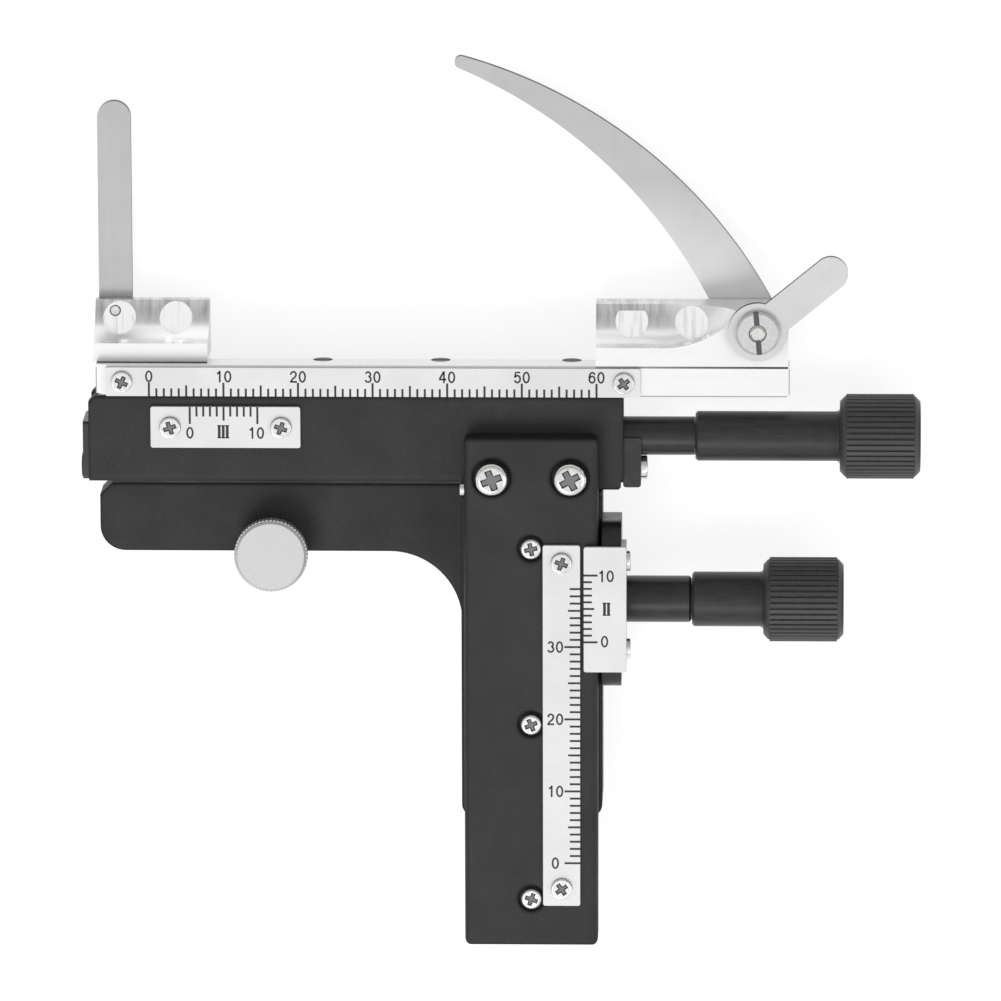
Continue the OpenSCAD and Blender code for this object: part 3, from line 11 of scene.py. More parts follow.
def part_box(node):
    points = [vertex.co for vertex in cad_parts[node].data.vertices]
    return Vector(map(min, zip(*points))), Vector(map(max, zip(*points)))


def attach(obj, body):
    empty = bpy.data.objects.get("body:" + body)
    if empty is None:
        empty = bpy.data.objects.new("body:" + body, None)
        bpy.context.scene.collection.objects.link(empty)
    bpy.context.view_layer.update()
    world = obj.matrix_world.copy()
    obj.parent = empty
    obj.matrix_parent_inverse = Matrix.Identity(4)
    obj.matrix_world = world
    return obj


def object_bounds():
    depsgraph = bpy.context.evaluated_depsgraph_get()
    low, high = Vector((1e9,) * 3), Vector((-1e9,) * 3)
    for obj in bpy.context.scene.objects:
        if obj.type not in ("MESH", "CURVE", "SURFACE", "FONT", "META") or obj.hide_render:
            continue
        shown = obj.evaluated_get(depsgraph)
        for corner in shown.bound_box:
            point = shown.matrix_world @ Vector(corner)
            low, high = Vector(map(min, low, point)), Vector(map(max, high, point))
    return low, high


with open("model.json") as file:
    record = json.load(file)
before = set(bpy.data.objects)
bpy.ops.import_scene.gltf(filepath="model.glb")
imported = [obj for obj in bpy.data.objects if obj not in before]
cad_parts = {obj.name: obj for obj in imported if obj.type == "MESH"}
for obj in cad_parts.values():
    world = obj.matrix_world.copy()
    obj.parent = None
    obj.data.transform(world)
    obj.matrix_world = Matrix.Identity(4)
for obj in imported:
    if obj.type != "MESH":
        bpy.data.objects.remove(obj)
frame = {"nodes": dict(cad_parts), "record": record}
cad_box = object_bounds()
NODES = frame["nodes"]
MM = 0.001


# Materials


def material(name):
    mat = bpy.data.materials.new(name)
    mat.use_nodes = True
    nodes = mat.node_tree.nodes
    return mat, nodes, mat.node_tree.links, nodes["Principled BSDF"]


def object_coords(nodes, links, scale=(1, 1, 1), turn=(0, 0, 0)):
    coords = nodes.new("ShaderNodeTexCoord")
    mapping = nodes.new("ShaderNodeMapping")
    mapping.inputs["Scale"].default_value = scale
    mapping.inputs["Rotation"].default_value = turn
    links.new(coords.outputs["Object"], mapping.inputs["Vector"])
    return mapping.outputs["Vector"]


def noise(nodes, links, vector, scale, detail=3.0, roughness=0.55):
    tex = nodes.new("ShaderNodeTexNoise")
    tex.inputs["Scale"].default_value = scale
    tex.inputs["Detail"].default_value = detail
    tex.inputs["Roughness"].default_value = roughness
    links.new(vector, tex.inputs["Vector"])
    return tex.outputs["Fac"]


def ramp(nodes, links, value, stops):
    node = nodes.new("ShaderNodeValToRGB")
    elements = node.color_ramp.elements
    while len(elements) < len(stops):
        elements.new(0.5)
    for element, (place, level) in zip(elements, stops):
        element.position = place
        color = level if isinstance(level, tuple) else (level, level, level)
        element.color = (*color, 1)
    links.new(value, node.inputs["Fac"])
    return node.outputs["Color"]


def bump(nodes, links, bsdf, height, strength, distance):
    node = nodes.new("ShaderNodeBump")
    node.inputs["Strength"].default_value = strength
    node.inputs["Distance"].default_value = distance
    links.new(height, node.inputs["Height"])
    links.new(node.outputs["Normal"], bsdf.inputs["Normal"])
    return node


def paint_black():
    mat, nodes, links, bsdf = material("satin_black_paint")
    vec = object_coords(nodes, links)
    fine = noise(nodes, links, vec, 5200, 2.0)
    broad = noise(nodes, links, vec, 160, 3.0)
    links.new(ramp(nodes, links, fine, [(0.3, 0.009), (0.62, 0.016), (0.8, 0.04)]), bsdf.inputs["Base Color"])
    bsdf.inputs["Specular IOR Level"].default_value = 0.38
    links.new(ramp(nodes, links, broad, [(0.3, 0.5), (0.7, 0.62)]), bsdf.inputs["Roughness"])
    grain = bump(nodes, links, bsdf, fine, 0.35, 0.00003)
    rounded = nodes.new("ShaderNodeBevel")
    rounded.samples = 6
    rounded.inputs["Radius"].default_value = 0.8 * MM
    links.new(rounded.outputs["Normal"], grain.inputs["Normal"])
    return mat


def gloss_black():
    mat, nodes, links, bsdf = material("gloss_black")
    vec = object_coords(nodes, links)
    cloud = noise(nodes, links, vec, 420, 4.0)
    links.new(ramp(nodes, links, cloud, [(0.4, 0.016), (0.7, 0.024)]), bsdf.inputs["Base Color"])
    links.new(ramp(nodes, links, cloud, [(0.35, 0.28), (0.7, 0.36)]), bsdf.inputs["Roughness"])
    bsdf.inputs["Specular IOR Level"].default_value = 0.4
    bump(nodes, links, bsdf, noise(nodes, links, vec, 3000, 2.0), 0.15, 0.00002)
    return mat


def knob_black():
    mat, nodes, links, bsdf = material("knob_black")
    vec = object_coords(nodes, links, (0.15, 1, 1))
    turned = noise(nodes, links, vec, 2600, 3.0)
    links.new(ramp(nodes, links, turned, [(0.35, 0.024), (0.7, 0.035)]), bsdf.inputs["Base Color"])
    links.new(ramp(nodes, links, turned, [(0.3, 0.3), (0.7, 0.42)]), bsdf.inputs["Roughness"])
    bsdf.inputs["Specular IOR Level"].default_value = 0.3
    bump(nodes, links, bsdf, turned, 0.2, 0.00002)
    return mat


def knurl_black():
    mat, nodes, links, bsdf = material("knurl_black")
    value = noise(nodes, links, object_coords(nodes, links), 2200, 3.0)
    links.new(ramp(nodes, links, value, [(0.3, 0.032), (0.7, 0.05)]), bsdf.inputs["Base Color"])
    links.new(ramp(nodes, links, value, [(0.3, 0.45), (0.7, 0.6)]), bsdf.inputs["Roughness"])
    bump(nodes, links, bsdf, value, 0.15, 0.00002)
    return mat


def plate():
    mat, nodes, links, bsdf = material("scale_plate_satin")
    vec = object_coords(nodes, links)
    grain = noise(nodes, links, vec, 3500, 2.0)
    cloud = noise(nodes, links, vec, 140, 3.0)
    tone = ramp(nodes, links, cloud, [(0.3, (0.63, 0.63, 0.635)), (0.7, (0.69, 0.69, 0.695))])
    links.new(tone, bsdf.inputs["Base Color"])
    bsdf.inputs["Metallic"].default_value = 0.25
    links.new(ramp(nodes, links, grain, [(0.3, 0.4), (0.7, 0.5)]), bsdf.inputs["Roughness"])
    bump(nodes, links, bsdf, grain, 0.1, 0.00001)
    return mat


def plain(name, color, metallic, rough, grain=2500, strength=0.08):
    mat, nodes, links, bsdf = material(name)
    vec = object_coords(nodes, links)
    value = noise(nodes, links, vec, grain, 3.0)
    dark = tuple(c * 0.88 for c in color)
    links.new(ramp(nodes, links, value, [(0.3, dark), (0.7, color)]), bsdf.inputs["Base Color"])
    bsdf.inputs["Metallic"].default_value = metallic
    links.new(ramp(nodes, links, value, [(0.3, rough * 0.85), (0.7, rough * 1.15)]), bsdf.inputs["Roughness"])
    bump(nodes, links, bsdf, value, strength, 0.00001)
    return mat


def facing(nodes, links, stops, axis="Z", normal="Normal"):
    """A ramp over how far a face looks up or down an axis: 0 across the axis and 1 along it."""
    geometry = nodes.new("ShaderNodeNewGeometry")
    apart = nodes.new("ShaderNodeSeparateXYZ")
    links.new(geometry.outputs[normal], apart.inputs[0])
    size = nodes.new("ShaderNodeMath")
    size.operation = "ABSOLUTE"
    links.new(apart.outputs[axis], size.inputs[0])
    return ramp(nodes, links, size.outputs[0], stops)


def along(nodes, links, axis, low, high):
    """0 to 1 between two places on one of the object's axes, in millimetres."""
    coords = nodes.new("ShaderNodeTexCoord")
    apart = nodes.new("ShaderNodeSeparateXYZ")
    links.new(coords.outputs["Object"], apart.inputs[0])
    place = nodes.new("ShaderNodeMapRange")
    place.inputs["From Min"].default_value = low * MM
    place.inputs["From Max"].default_value = high * MM
    links.new(apart.outputs[axis], place.inputs["Value"])
    return place.outputs["Result"]


def blend(nodes, links, share, first, second):
    """A mix of two colours, each a value or another node's output."""
    mix = nodes.new("ShaderNodeMix")
    mix.data_type = "RGBA"
    links.new(share, mix.inputs["Factor"])
    for name, color in (("A", first), ("B", second)):
        if isinstance(color, tuple):
            mix.inputs[name].default_value = (*color, 1)
        else:
            links.new(color, mix.inputs[name])
    return mix.outputs["Result"]


# Where the hollow cuts' back with its painted grey reflection begins, where the right cut gets a painted
# white sheen toward the pivot, and the fingers' root that gets painted light, each from its start to its
# end in millimetres
REFLECTION_BACK = (30.2, 32.2)
PIVOT_SHEEN_SIDE = (51.5, 55.5)
FINGER_ROOT_LIGHT = (31, 50)
# How far a bevel of about 45 degrees looks up, between upright faces and level ones; such bevels get painted
# shade
SLANTED = [(0.25, 0.0), (0.45, 1.0), (0.9, 1.0), (0.97, 0.0)]


def block_metal(name, shaded_bevels):
    """Aluminium: satin level faces and streaky hollow cuts, with a painted grey reflection, white sheen and
    shade.
    """
    mat, nodes, links, bsdf = material(name)
    streak = noise(nodes, links, object_coords(nodes, links, (1, 0.1, 0.1)), 1500, 4.0)
    fine = noise(nodes, links, object_coords(nodes, links, (0.12, 1, 1)), 900, 4.0)
    # Painted white sheen: the right cut turns white toward the pivot, and less mirror-like there
    pivot_sheen = along(nodes, links, "X", *PIVOT_SHEEN_SIDE)
    # Painted grey reflection at the back of the hollow cuts, over streaks from turning
    grey_reflection = ramp(nodes, links, streak, [(0.38, 0.55), (0.62, 0.82)])
    grey_reflection = blend(nodes, links, pivot_sheen, grey_reflection, (0.97, 0.97, 0.975))
    bright = 0.88 if shaded_bevels else 0.99
    turned = blend(nodes, links, along(nodes, links, "Y", *REFLECTION_BACK), (bright, bright, bright), grey_reflection)
    # Painted shade: the end faces that look along X are darker
    ends = facing(nodes, links, [(0.6, 0.0), (0.9, 1.0)], "X")
    turned = blend(nodes, links, ends, turned, (0.66, 0.66, 0.665))
    # Painted shade: bevels of about 45 degrees are darker, where asked
    if shaded_bevels:
        slanted = facing(nodes, links, SLANTED, normal="True Normal")
        turned = blend(nodes, links, slanted, turned, (0.3, 0.3, 0.3))
    level = facing(nodes, links, [(0.95, 0.0), (0.99, 1.0)])
    links.new(blend(nodes, links, level, turned, (0.81, 0.81, 0.815)), bsdf.inputs["Base Color"])
    mirror = blend(nodes, links, pivot_sheen, (0.9, 0.9, 0.9), (0.5, 0.5, 0.5))
    links.new(blend(nodes, links, level, mirror, (0.2, 0.2, 0.2)), bsdf.inputs["Metallic"])
    links.new(ramp(nodes, links, fine, [(0.3, 0.26), (0.7, 0.38)]), bsdf.inputs["Roughness"])
    bump(nodes, links, bsdf, fine, 0.12, 0.00002)
    return mat


def pocket_metal():
    """Milled pockets: bright, with streaks, and mirror-like walls."""
    mat, nodes, links, bsdf = material("milled_pocket")
    streak = noise(nodes, links, object_coords(nodes, links, (1, 0.08, 0.08)), 1700, 4.0)
    across = noise(nodes, links, object_coords(nodes, links, (0.15, 1, 1)), 1300, 3.0)
    floor_tone = ramp(nodes, links, streak, [(0.36, 0.8), (0.46, 0.97), (0.7, 0.99)])
    level = facing(nodes, links, [(0.75, 0.0), (0.95, 1.0)])
    links.new(blend(nodes, links, level, (0.97, 0.97, 0.97), floor_tone), bsdf.inputs["Base Color"])
    bsdf.inputs["Metallic"].default_value = 1.0
    links.new(ramp(nodes, links, across, [(0.3, 0.08), (0.7, 0.16)]), bsdf.inputs["Roughness"])
    bump(nodes, links, bsdf, across, 0.06, 0.00001)
    return mat


def finger_metal(name, low, high, turn, root_light=0.0):
    """Brushed sheet steel whose upright cut edges get painted shade, and painted light toward the block by a
    given amount.
    """
    mat, nodes, links, bsdf = material(name)
    streak = noise(nodes, links, object_coords(nodes, links, (1, 0.06, 1), (0, 0, turn)), 900, 4.0)
    cloud = noise(nodes, links, object_coords(nodes, links), 150, 3.0)
    # Painted light: the root is lighter toward the block, against the block's shade
    near = ramp(nodes, links, cloud, [(0.3, low + root_light), (0.7, high + root_light)])
    far = ramp(nodes, links, cloud, [(0.3, low), (0.7, high)])
    face = blend(nodes, links, along(nodes, links, "Y", *FINGER_ROOT_LIGHT), near, far)
    # Painted shade: the upright cut edges are dark
    level = facing(nodes, links, [(0.8, 0.0), (0.97, 1.0)])
    links.new(blend(nodes, links, level, (0.07, 0.07, 0.072), face), bsdf.inputs["Base Color"])
    bsdf.inputs["Metallic"].default_value = 0.25
    links.new(ramp(nodes, links, streak, [(0.3, 0.4), (0.7, 0.55)]), bsdf.inputs["Roughness"])
    bump(nodes, links, bsdf, streak, 0.1, 0.00001)
    return mat


MATS = {
    "black_paint": paint_black(),
    "gloss_black": gloss_black(),
    "black_knob": knob_black(),
    "scale_plate": plate(),
    "block_aluminium": block_metal("bright_aluminium", False),
    "finger_steel": finger_metal("brushed_steel", 0.42, 0.46, 0.0),
    "nickel": plain("bright_nickel", (0.82, 0.815, 0.8), 1.0, 0.16),
    "dark_screw": plain("blackened_screw", (0.03, 0.03, 0.032), 0.6, 0.35),
    "steel": plain("turned_steel", (0.5, 0.5, 0.51), 1.0, 0.3),
    "brass": plain("plain_brass", (0.72, 0.53, 0.24), 1.0, 0.3),
}
INK = plain("black_ink", (0.012, 0.012, 0.013), 0.0, 0.5)
# Painted shade: near-black for the crosses in screw heads and the shadow gap behind the left block; the
# drives' collars use it too
RECESS = plain("dark_recess", (0.02, 0.02, 0.02), 0.2, 0.6)
# Painted shade: grey for the floors of the crosses in screw heads
RECESS_FLOOR_SHADE = plain("shaded_recess_floor", (0.17, 0.17, 0.17), 0.4, 0.5)
# Painted shadow: dark rings round screw heads and screw tips, and the nut's slot
RIM = plain("shaded_rim", (0.09, 0.09, 0.09), 0.0, 0.7)
LEVER = finger_metal("lever_steel", 0.56, 0.62, 0.6)
# The curved finger gets painted light toward the block
CURVED = finger_metal("curved_steel", 0.45, 0.49, 0.0, 0.36)
DULL = plain("dull_nickel", (0.62, 0.62, 0.61), 1.0, 0.3)

for row in frame["record"]["subparts"]:
    mesh = NODES[row["node"]].data
    mesh.materials.clear()
    mesh.materials.append(MATS[row["material_slot"]])

TURNED = plain("turned_nickel", (0.53, 0.53, 0.53), 0.35, 0.4, 3000, 0.01)
NUT = plain("nut_steel", (0.57, 0.57, 0.57), 0.4, 0.35)
KNURL = knurl_black()
for name, mat in {
    "lever": LEVER, "curved_finger": CURVED, "rack_screws": DULL, "finger_screws": DULL,
    "thumb_screw": TURNED, "slotted_nut": NUT,
}.items():
    NODES[name].data.materials[0] = mat


# A knob's knurled part reaches from this far below its largest radius, in millimetres
KNURL_DEPTH = 0.6


def knurl_faces(name):
    """Gives the widest part of a knob its own material."""
    low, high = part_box(name)
    axis_y, axis_z = (low.y + high.y) / 2, (low.z + high.z) / 2
    plain_r = (high.z - low.z) / 2 - KNURL_DEPTH * MM
    mesh = NODES[name].data
    mesh.materials.append(KNURL)
    for face in mesh.polygons:
        spots = [mesh.vertices[i].co for i in face.vertices]
        if max(math.hypot(p.y - axis_y, p.z - axis_z) for p in spots) > plain_r:
            face.material_index = 1


knurl_faces("x_knob")
knurl_faces("y_knob")

# The round pockets, in millimetres: their radius, the margin to the block's back face, the level of their
# lowest floor, and how far outside and how near the top a face may lie and still belong to a pocket
POCKET_R = 2.2
POCKET_EDGE = 0.3
POCKET_LEVEL = 2.78
POCKET_REACH = 0.12
POCKET_TOP = 0.01
POCKET_LEAN = math.radians(10)
POCKET = pocket_metal()


def pocket_faces(name, places):
    """Gives the walls and floors of the round pockets their own material.

    A place is a pocket's distance from the block's left end, in front of the pockets' line, and above the
    level of the lowest floor.
    """
    low, high = (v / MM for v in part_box(name))
    mesh = NODES[name].data
    mesh.materials.append(POCKET)

    def off_axis(p, along_x, inset, up):
        lean = (p.z - POCKET_LEVEL - up) * math.tan(POCKET_LEAN)
        middle = high.y - POCKET_R - POCKET_EDGE - inset + lean
        return math.hypot(p.x - low.x - along_x, p.y - middle)

    for face in mesh.polygons:
        spots = [mesh.vertices[i].co / MM for i in face.vertices]
        if min(p.z for p in spots) >= high.z - POCKET_TOP:
            continue
        if any(max(off_axis(p, *place) for p in spots) < POCKET_R + POCKET_REACH for place in places):
            face.material_index = 1


pocket_faces("left_block", [(3.3, 0, 0), (10.9, 0, 0)])
pocket_faces("right_block", [(4.8, -0.3, 3.1), (12.8, 0.35, 0)])
NODES["slide_bar"].data.materials[0] = block_metal("bar_aluminium", True)


# Fine edges that catch the light


def soften(node, width, segments=2):
    mod = NODES[node].modifiers.new("edge", "BEVEL")
    mod.width = width * MM
    mod.segments = segments
    mod.limit_method = "ANGLE"
    mod.angle_limit = math.radians(35)


for name, width in {
    "base_bracket": 0.25, "y_slider": 0.35, "beam": 0.2, "beam_end_plate": 0.12, "keeper_plate": 0.15,
    "bearing_plate": 0.45, "vernier_bracket": 0.08, "y_scale_plate": 0.06, "x_vernier_plate": 0.06,
    "x_scale_strip": 0.06, "slide_bar": 0.14, "left_block": 0.1, "right_block": 0.1, "left_finger": 0.16,
    "curved_finger": 0.13, "lever": 0.12, "slotted_nut": 0.08, "keeper_screw": 0.45,
    "vernier_bracket_screws": 0.2,
}.items():
    soften(name, width)


# Printed scales


def mesh_object(name, build, mat):
    """A new object whose mesh is filled by a function."""
    bm = bmesh.new()
    build(bm)
    mesh = bpy.data.meshes.new(name)
    bm.to_mesh(mesh)
    bm.free()
    mesh.materials.append(mat)
    obj = bpy.data.objects.new(name, mesh)
    bpy.context.scene.collection.objects.link(obj)
    return obj


def mesh_piece(name, build, mat, body):
    obj = mesh_object(name, build, mat)
    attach(obj, body)


INK_H = 0.012 * MM


def ink_box(bm, x0, x1, y0, y1, z):
    """A thin printed mark that lies on a plate, in millimetres."""
    middle = Matrix.Translation(((x0 + x1) / 2 * MM, (y0 + y1) / 2 * MM, z * MM + INK_H / 2))
    size = Matrix.Diagonal(((x1 - x0) * MM, (y1 - y0) * MM, INK_H, 1))
    bmesh.ops.create_cube(bm, size=1.0, matrix=middle @ size)


def tick_len(i, lens):
    """A tick's length, from the lengths of every tenth tick, every fifth tick and the others."""
    return lens[0] if i % 10 == 0 else lens[1] if i % 5 == 0 else lens[2]


def top_of(node):
    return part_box(node)[1].z / MM


def edge_of(node, axis, high):
    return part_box(node)[1 if high else 0][axis] / MM


# Width of a printed tick, and below the places of the scales' zeros, all in millimetres
INK_W = 0.28
strip_top = top_of("x_scale_strip")
strip_front = edge_of("x_scale_strip", 1, False)
X_ZERO = -16.14


def x_ticks(bm):
    for i in range(0, 61):
        x = X_ZERO + i
        back = strip_front + tick_len(i, (1.87, 1.49, 1.07))
        ink_box(bm, x - INK_W / 2, x + INK_W / 2, strip_front, back, strip_top)


mesh_piece("x_scale_ticks", x_ticks, INK, "slide_holder")

xv_top = top_of("x_vernier_plate")
xv_back = edge_of("x_vernier_plate", 1, True)
XV_ZERO, XV_SPAN = -10.72, 9.08


def x_vernier_ticks(bm):
    for i in range(0, 11):
        x = XV_ZERO + XV_SPAN * i / 10
        front = xv_back - tick_len(i, (2.33, 1.86, 1.31))
        ink_box(bm, x - INK_W / 2, x + INK_W / 2, front, xv_back, xv_top)


mesh_piece("x_vernier_ticks", x_vernier_ticks, INK, "carriage")

ys_top = top_of("y_scale_plate")
ys_right = edge_of("y_scale_plate", 0, True)
Y_ZERO = -41.45


def y_ticks(bm):
    for i in range(0, 39):
        y = Y_ZERO + i
        left = ys_right - tick_len(i, (2.1, 1.62, 1.39))
        ink_box(bm, left, ys_right, y - INK_W / 2, y + INK_W / 2, ys_top)


mesh_piece("y_scale_ticks", y_ticks, INK, "carriage")

yv_top = top_of("vernier_bracket")
yv_left = edge_of("vernier_bracket", 0, False)
YV_ZERO, YV_SPAN = -10.71, 9.2


def y_vernier_ticks(bm):
    for i in range(0, 11):
        y = YV_ZERO + YV_SPAN * i / 10
        right = yv_left + tick_len(i, (1.86, 1.41, 1.1))
        ink_box(bm, yv_left, right, y - INK_W / 2, y + INK_W / 2, yv_top)


mesh_piece("y_vernier_ticks", y_vernier_ticks, INK, "base")


def arc(cx, cy, rx, ry, start, end, steps=10):
    """Points on an ellipse between two angles in degrees."""
    points = []
    for i in range(steps + 1):
        a = math.radians(start + (end - start) * i / steps)
        points.append((cx + rx * math.cos(a), cy + ry * math.sin(a)))
    return points


# Middle lines of the digits in millimetres before they are enlarged by DIGIT_SIZE
DIGITS = {
    "0": [arc(0, 0, 0.33, 0.61, 0, 360, 28)],
    "1": [[(-0.22, 0.34), (0.0, 0.46), (0.1, 0.62)], [(0.1, -0.71), (0.1, 0.71)]],
    "2": [arc(0, 0.28, 0.31, 0.33, 185, -25, 14) + [(0.16, -0.06), (-0.14, -0.3), (-0.3, -0.6)],
          [(-0.41, -0.61), (0.41, -0.61)]],
    "3": [arc(0, 0.32, 0.28, 0.29, 165, -75, 12) + arc(0, -0.27, 0.33, 0.34, 72, -165, 14)],
    "4": [[(0.15, -0.71), (0.15, 0.71)], [(0.12, 0.66), (-0.37, -0.22)], [(-0.43, -0.27), (0.43, -0.27)]],
    "5": [[(0.34, 0.61), (-0.2, 0.61), (-0.29, -0.02)], arc(0, -0.19, 0.33, 0.42, 148, -160, 16)],
    "6": [arc(0, -0.22, 0.32, 0.39, 0, 360, 24), arc(0.04, 0.0, 0.36, 0.61, 35, 185, 12)],
}
DIGIT_SIZE = 1.13
STROKE = 0.24
ADVANCE = 1.05 * DIGIT_SIZE


def ribbon(bm, points, x, y, z):
    """A printed stroke along a middle line."""
    closed = math.dist(points[0], points[-1]) < 1e-6
    path = points[:-1] if closed else points
    n = len(path)
    sides = []
    for i in range(n):
        before = path[i - 1] if closed or i > 0 else path[0]
        after = path[(i + 1) % n] if closed or i < n - 1 else path[-1]
        dx, dy = after[0] - before[0], after[1] - before[1]
        size = math.hypot(dx, dy)
        nx, ny = -dy / size * STROKE / 2, dx / size * STROKE / 2
        sides.append([bm.verts.new(((x + path[i][0] + s * nx) * MM, (y + path[i][1] + s * ny) * MM,
                                    z * MM + INK_H)) for s in (1, -1)])
    for i in range(n if closed else n - 1):
        a, b = sides[i], sides[(i + 1) % n]
        bm.faces.new((a[0], a[1], b[1], b[0]))


def numeral(name, text, x, y, z, body):
    def build(bm):
        for k, char in enumerate(text):
            cx = x + (k - (len(text) - 1) / 2) * ADVANCE
            for points in DIGITS[char]:
                ribbon(bm, [(px * DIGIT_SIZE, py * DIGIT_SIZE) for px, py in points], cx, y, z)
        bmesh.ops.recalc_face_normals(bm, faces=bm.faces)
        for face in bm.faces:
            if face.normal.z < 0:
                face.normal_flip()

    mesh_piece(name, build, INK, body)


# The middle lines of the rows of digits on the X scale, the X vernier and the Y scale
X_DIGITS_Y = 24.8
XV_DIGITS_Y = 17.0
Y_DIGITS_X = 38.35

for i in range(0, 61, 10):
    numeral("x_scale_%d" % i, str(i), X_ZERO + i, X_DIGITS_Y, strip_top, "slide_holder")
for i in range(0, 31, 10):
    numeral("y_scale_%d" % i, str(i), Y_DIGITS_X, Y_ZERO + i, ys_top, "carriage")
for text, x in (("0", XV_ZERO), ("10", XV_ZERO + XV_SPAN - 0.2)):
    numeral("x_vernier_%s" % text, text, x, XV_DIGITS_Y, xv_top, "carriage")
for text, x, y in (("0", 45.0, YV_ZERO + 0.1), ("10", 45.16, YV_ZERO + YV_SPAN - 0.1)):
    numeral("y_vernier_%s" % text, text, x, y, yv_top, "base")


def roman(name, count, x, y, z, body):
    """Upright strokes with serifs, as on an engraved plate."""
    pitch, stem, serif, height = 0.54, 0.37, 0.52, 1.8
    line = 0.14

    def build(bm):
        for k in range(count):
            cx = x + (k - (count - 1) / 2) * pitch
            ink_box(bm, cx - stem / 2, cx + stem / 2, y - height / 2, y + height / 2, z)
            for edge in (-height / 2, height / 2 - line):
                ink_box(bm, cx - serif / 2, cx + serif / 2, y + edge, y + edge + line, z)

    mesh_piece(name, build, INK, body)


roman("x_vernier_mark", 3, -6.24, 17.16, xv_top, "carriage")
roman("y_vernier_mark", 2, 45.26, -6.14, yv_top, "base")


# Screw heads: the cross recess is painted shade, dark at its outline and grey on its floor, and a thin line
# of painted shadow goes round the head


def islands(node):
    """The separate solids of a node, each as its vertices in millimetres."""
    bm = bmesh.new()
    bm.from_mesh(NODES[node].data)
    bmesh.ops.remove_doubles(bm, verts=bm.verts, dist=1e-7)
    left = set(bm.verts)
    found = []
    while left:
        todo = [left.pop()]
        group = []
        while todo:
            vert = todo.pop()
            group.append(vert.co / MM)
            for edge in vert.link_edges:
                other = edge.other_vert(vert)
                if other in left:
                    left.remove(other)
                    todo.append(other)
        found.append(group)
    bm.free()
    return found


AXES = {
    "+z": (Vector((1, 0, 0)), Vector((0, 1, 0)), Vector((0, 0, 1))),
    "+x": (Vector((0, 0, -1)), Vector((0, 1, 0)), Vector((1, 0, 0))),
    "-x": (Vector((0, 0, 1)), Vector((0, 1, 0)), Vector((-1, 0, 0))),
}


def prism(bm, spot, frame_axes, turn, outline, low, high):
    """An upright block on an outline, with low and high counted along the screw's axis."""
    u, v, w = frame_axes
    c, s = math.cos(turn), math.sin(turn)
    rings = []
    for level in (low, high):
        rings.append([bm.verts.new((spot + u * (x * c - y * s) + v * (x * s + y * c) + w * level) * MM)
                      for x, y in outline])
    bm.faces.new(rings[1])
    bm.faces.new(list(reversed(rings[0])))
    n = len(outline)
    for i in range(n):
        bm.faces.new((rings[0][i], rings[0][(i + 1) % n], rings[1][(i + 1) % n], rings[1][i]))


def cross_outline(long, wide):
    """A cross with flared inner corners."""
    a, b = long / 2, wide / 2
    f = b * 1.75
    quarter = [(a, -b * 0.8), (a, b * 0.8), (f, b), (b, f)]
    return [(x * c - y * s, x * s + y * c) for c, s in ((1, 0), (0, 1), (-1, 0), (0, -1)) for x, y in quarter]


def flat_ring(bm, spot, frame_axes, inner, outer, level, steps=40):
    u, v, w = frame_axes
    rings = []
    for r in (inner, outer):
        rings.append([bm.verts.new((spot + u * r * math.cos(2 * math.pi * i / steps)
                                    + v * r * math.sin(2 * math.pi * i / steps) + w * level) * MM)
                      for i in range(steps)])
    for i in range(steps):
        j = (i + 1) % steps
        bm.faces.new((rings[0][i], rings[1][i], rings[1][j], rings[0][j]))


# A cross's widths as shares of the head's width
CROSS_WIDE, CROSS_LONG = 0.22, 0.64
# How much smaller than the cross the painted dark outline and grey floor of shade are, and how far below the
# top they end
OUTLINE_IN, OUTLINE_DOWN = -0.02, 0.09
FLOOR_IN, FLOOR_DOWN = 0.3, 0.07
# The ring of painted shadow round a head: how far it reaches under the head and past it, and its height above
# the plate
RING_IN, RING_OUT, RING_UP = 0.08, 0.04, 0.012


def heads(node, body, axis, turns, head_h, ringed):
    """A cross recess of painted shade in each screw head of a node, with turns in degrees, and a ring of
    painted shadow round it where asked.
    """
    axes = AXES[axis]
    spots = []
    for group in islands(node):
        out = max(p.dot(axes[2]) for p in group)
        side = [sum((min(p.dot(a) for p in group), max(p.dot(a) for p in group))) / 2 for a in axes[:2]]
        wide = max(p.dot(axes[1]) for p in group) - min(p.dot(axes[1]) for p in group)
        spots.append((axes[0] * side[0] + axes[1] * side[1] + axes[2] * out, wide))
    spots.sort(key=lambda spot: spot[0].x if node.startswith("x_") or node == "beam_screws" else -spot[0].y)

    def crosses(inset, top):
        def build(bm):
            for (spot, wide), turn in zip(spots, turns):
                outline = cross_outline(wide * CROSS_LONG - inset, wide * CROSS_WIDE - inset)
                prism(bm, spot, axes, math.radians(turn), outline, -head_h / 2, -top)
        return build

    # Painted shade: a dark cross with a grey floor sits in each head's recess
    mesh_piece(node + "_recess", crosses(OUTLINE_IN, OUTLINE_DOWN), RECESS, body)
    mesh_piece(node + "_recess_floor", crosses(FLOOR_IN, FLOOR_DOWN), RECESS_FLOOR_SHADE, body)

    # Painted shadow: a thin dark ring round the head where it meets the plate
    if ringed:
        def rings(bm):
            for spot, wide in spots:
                foot = spot - axes[2] * (head_h - RING_UP)
                flat_ring(bm, foot, axes, wide / 2 - RING_IN, wide / 2 + RING_OUT, 0)

        mesh_piece(node + "_line", rings, RIM, body)


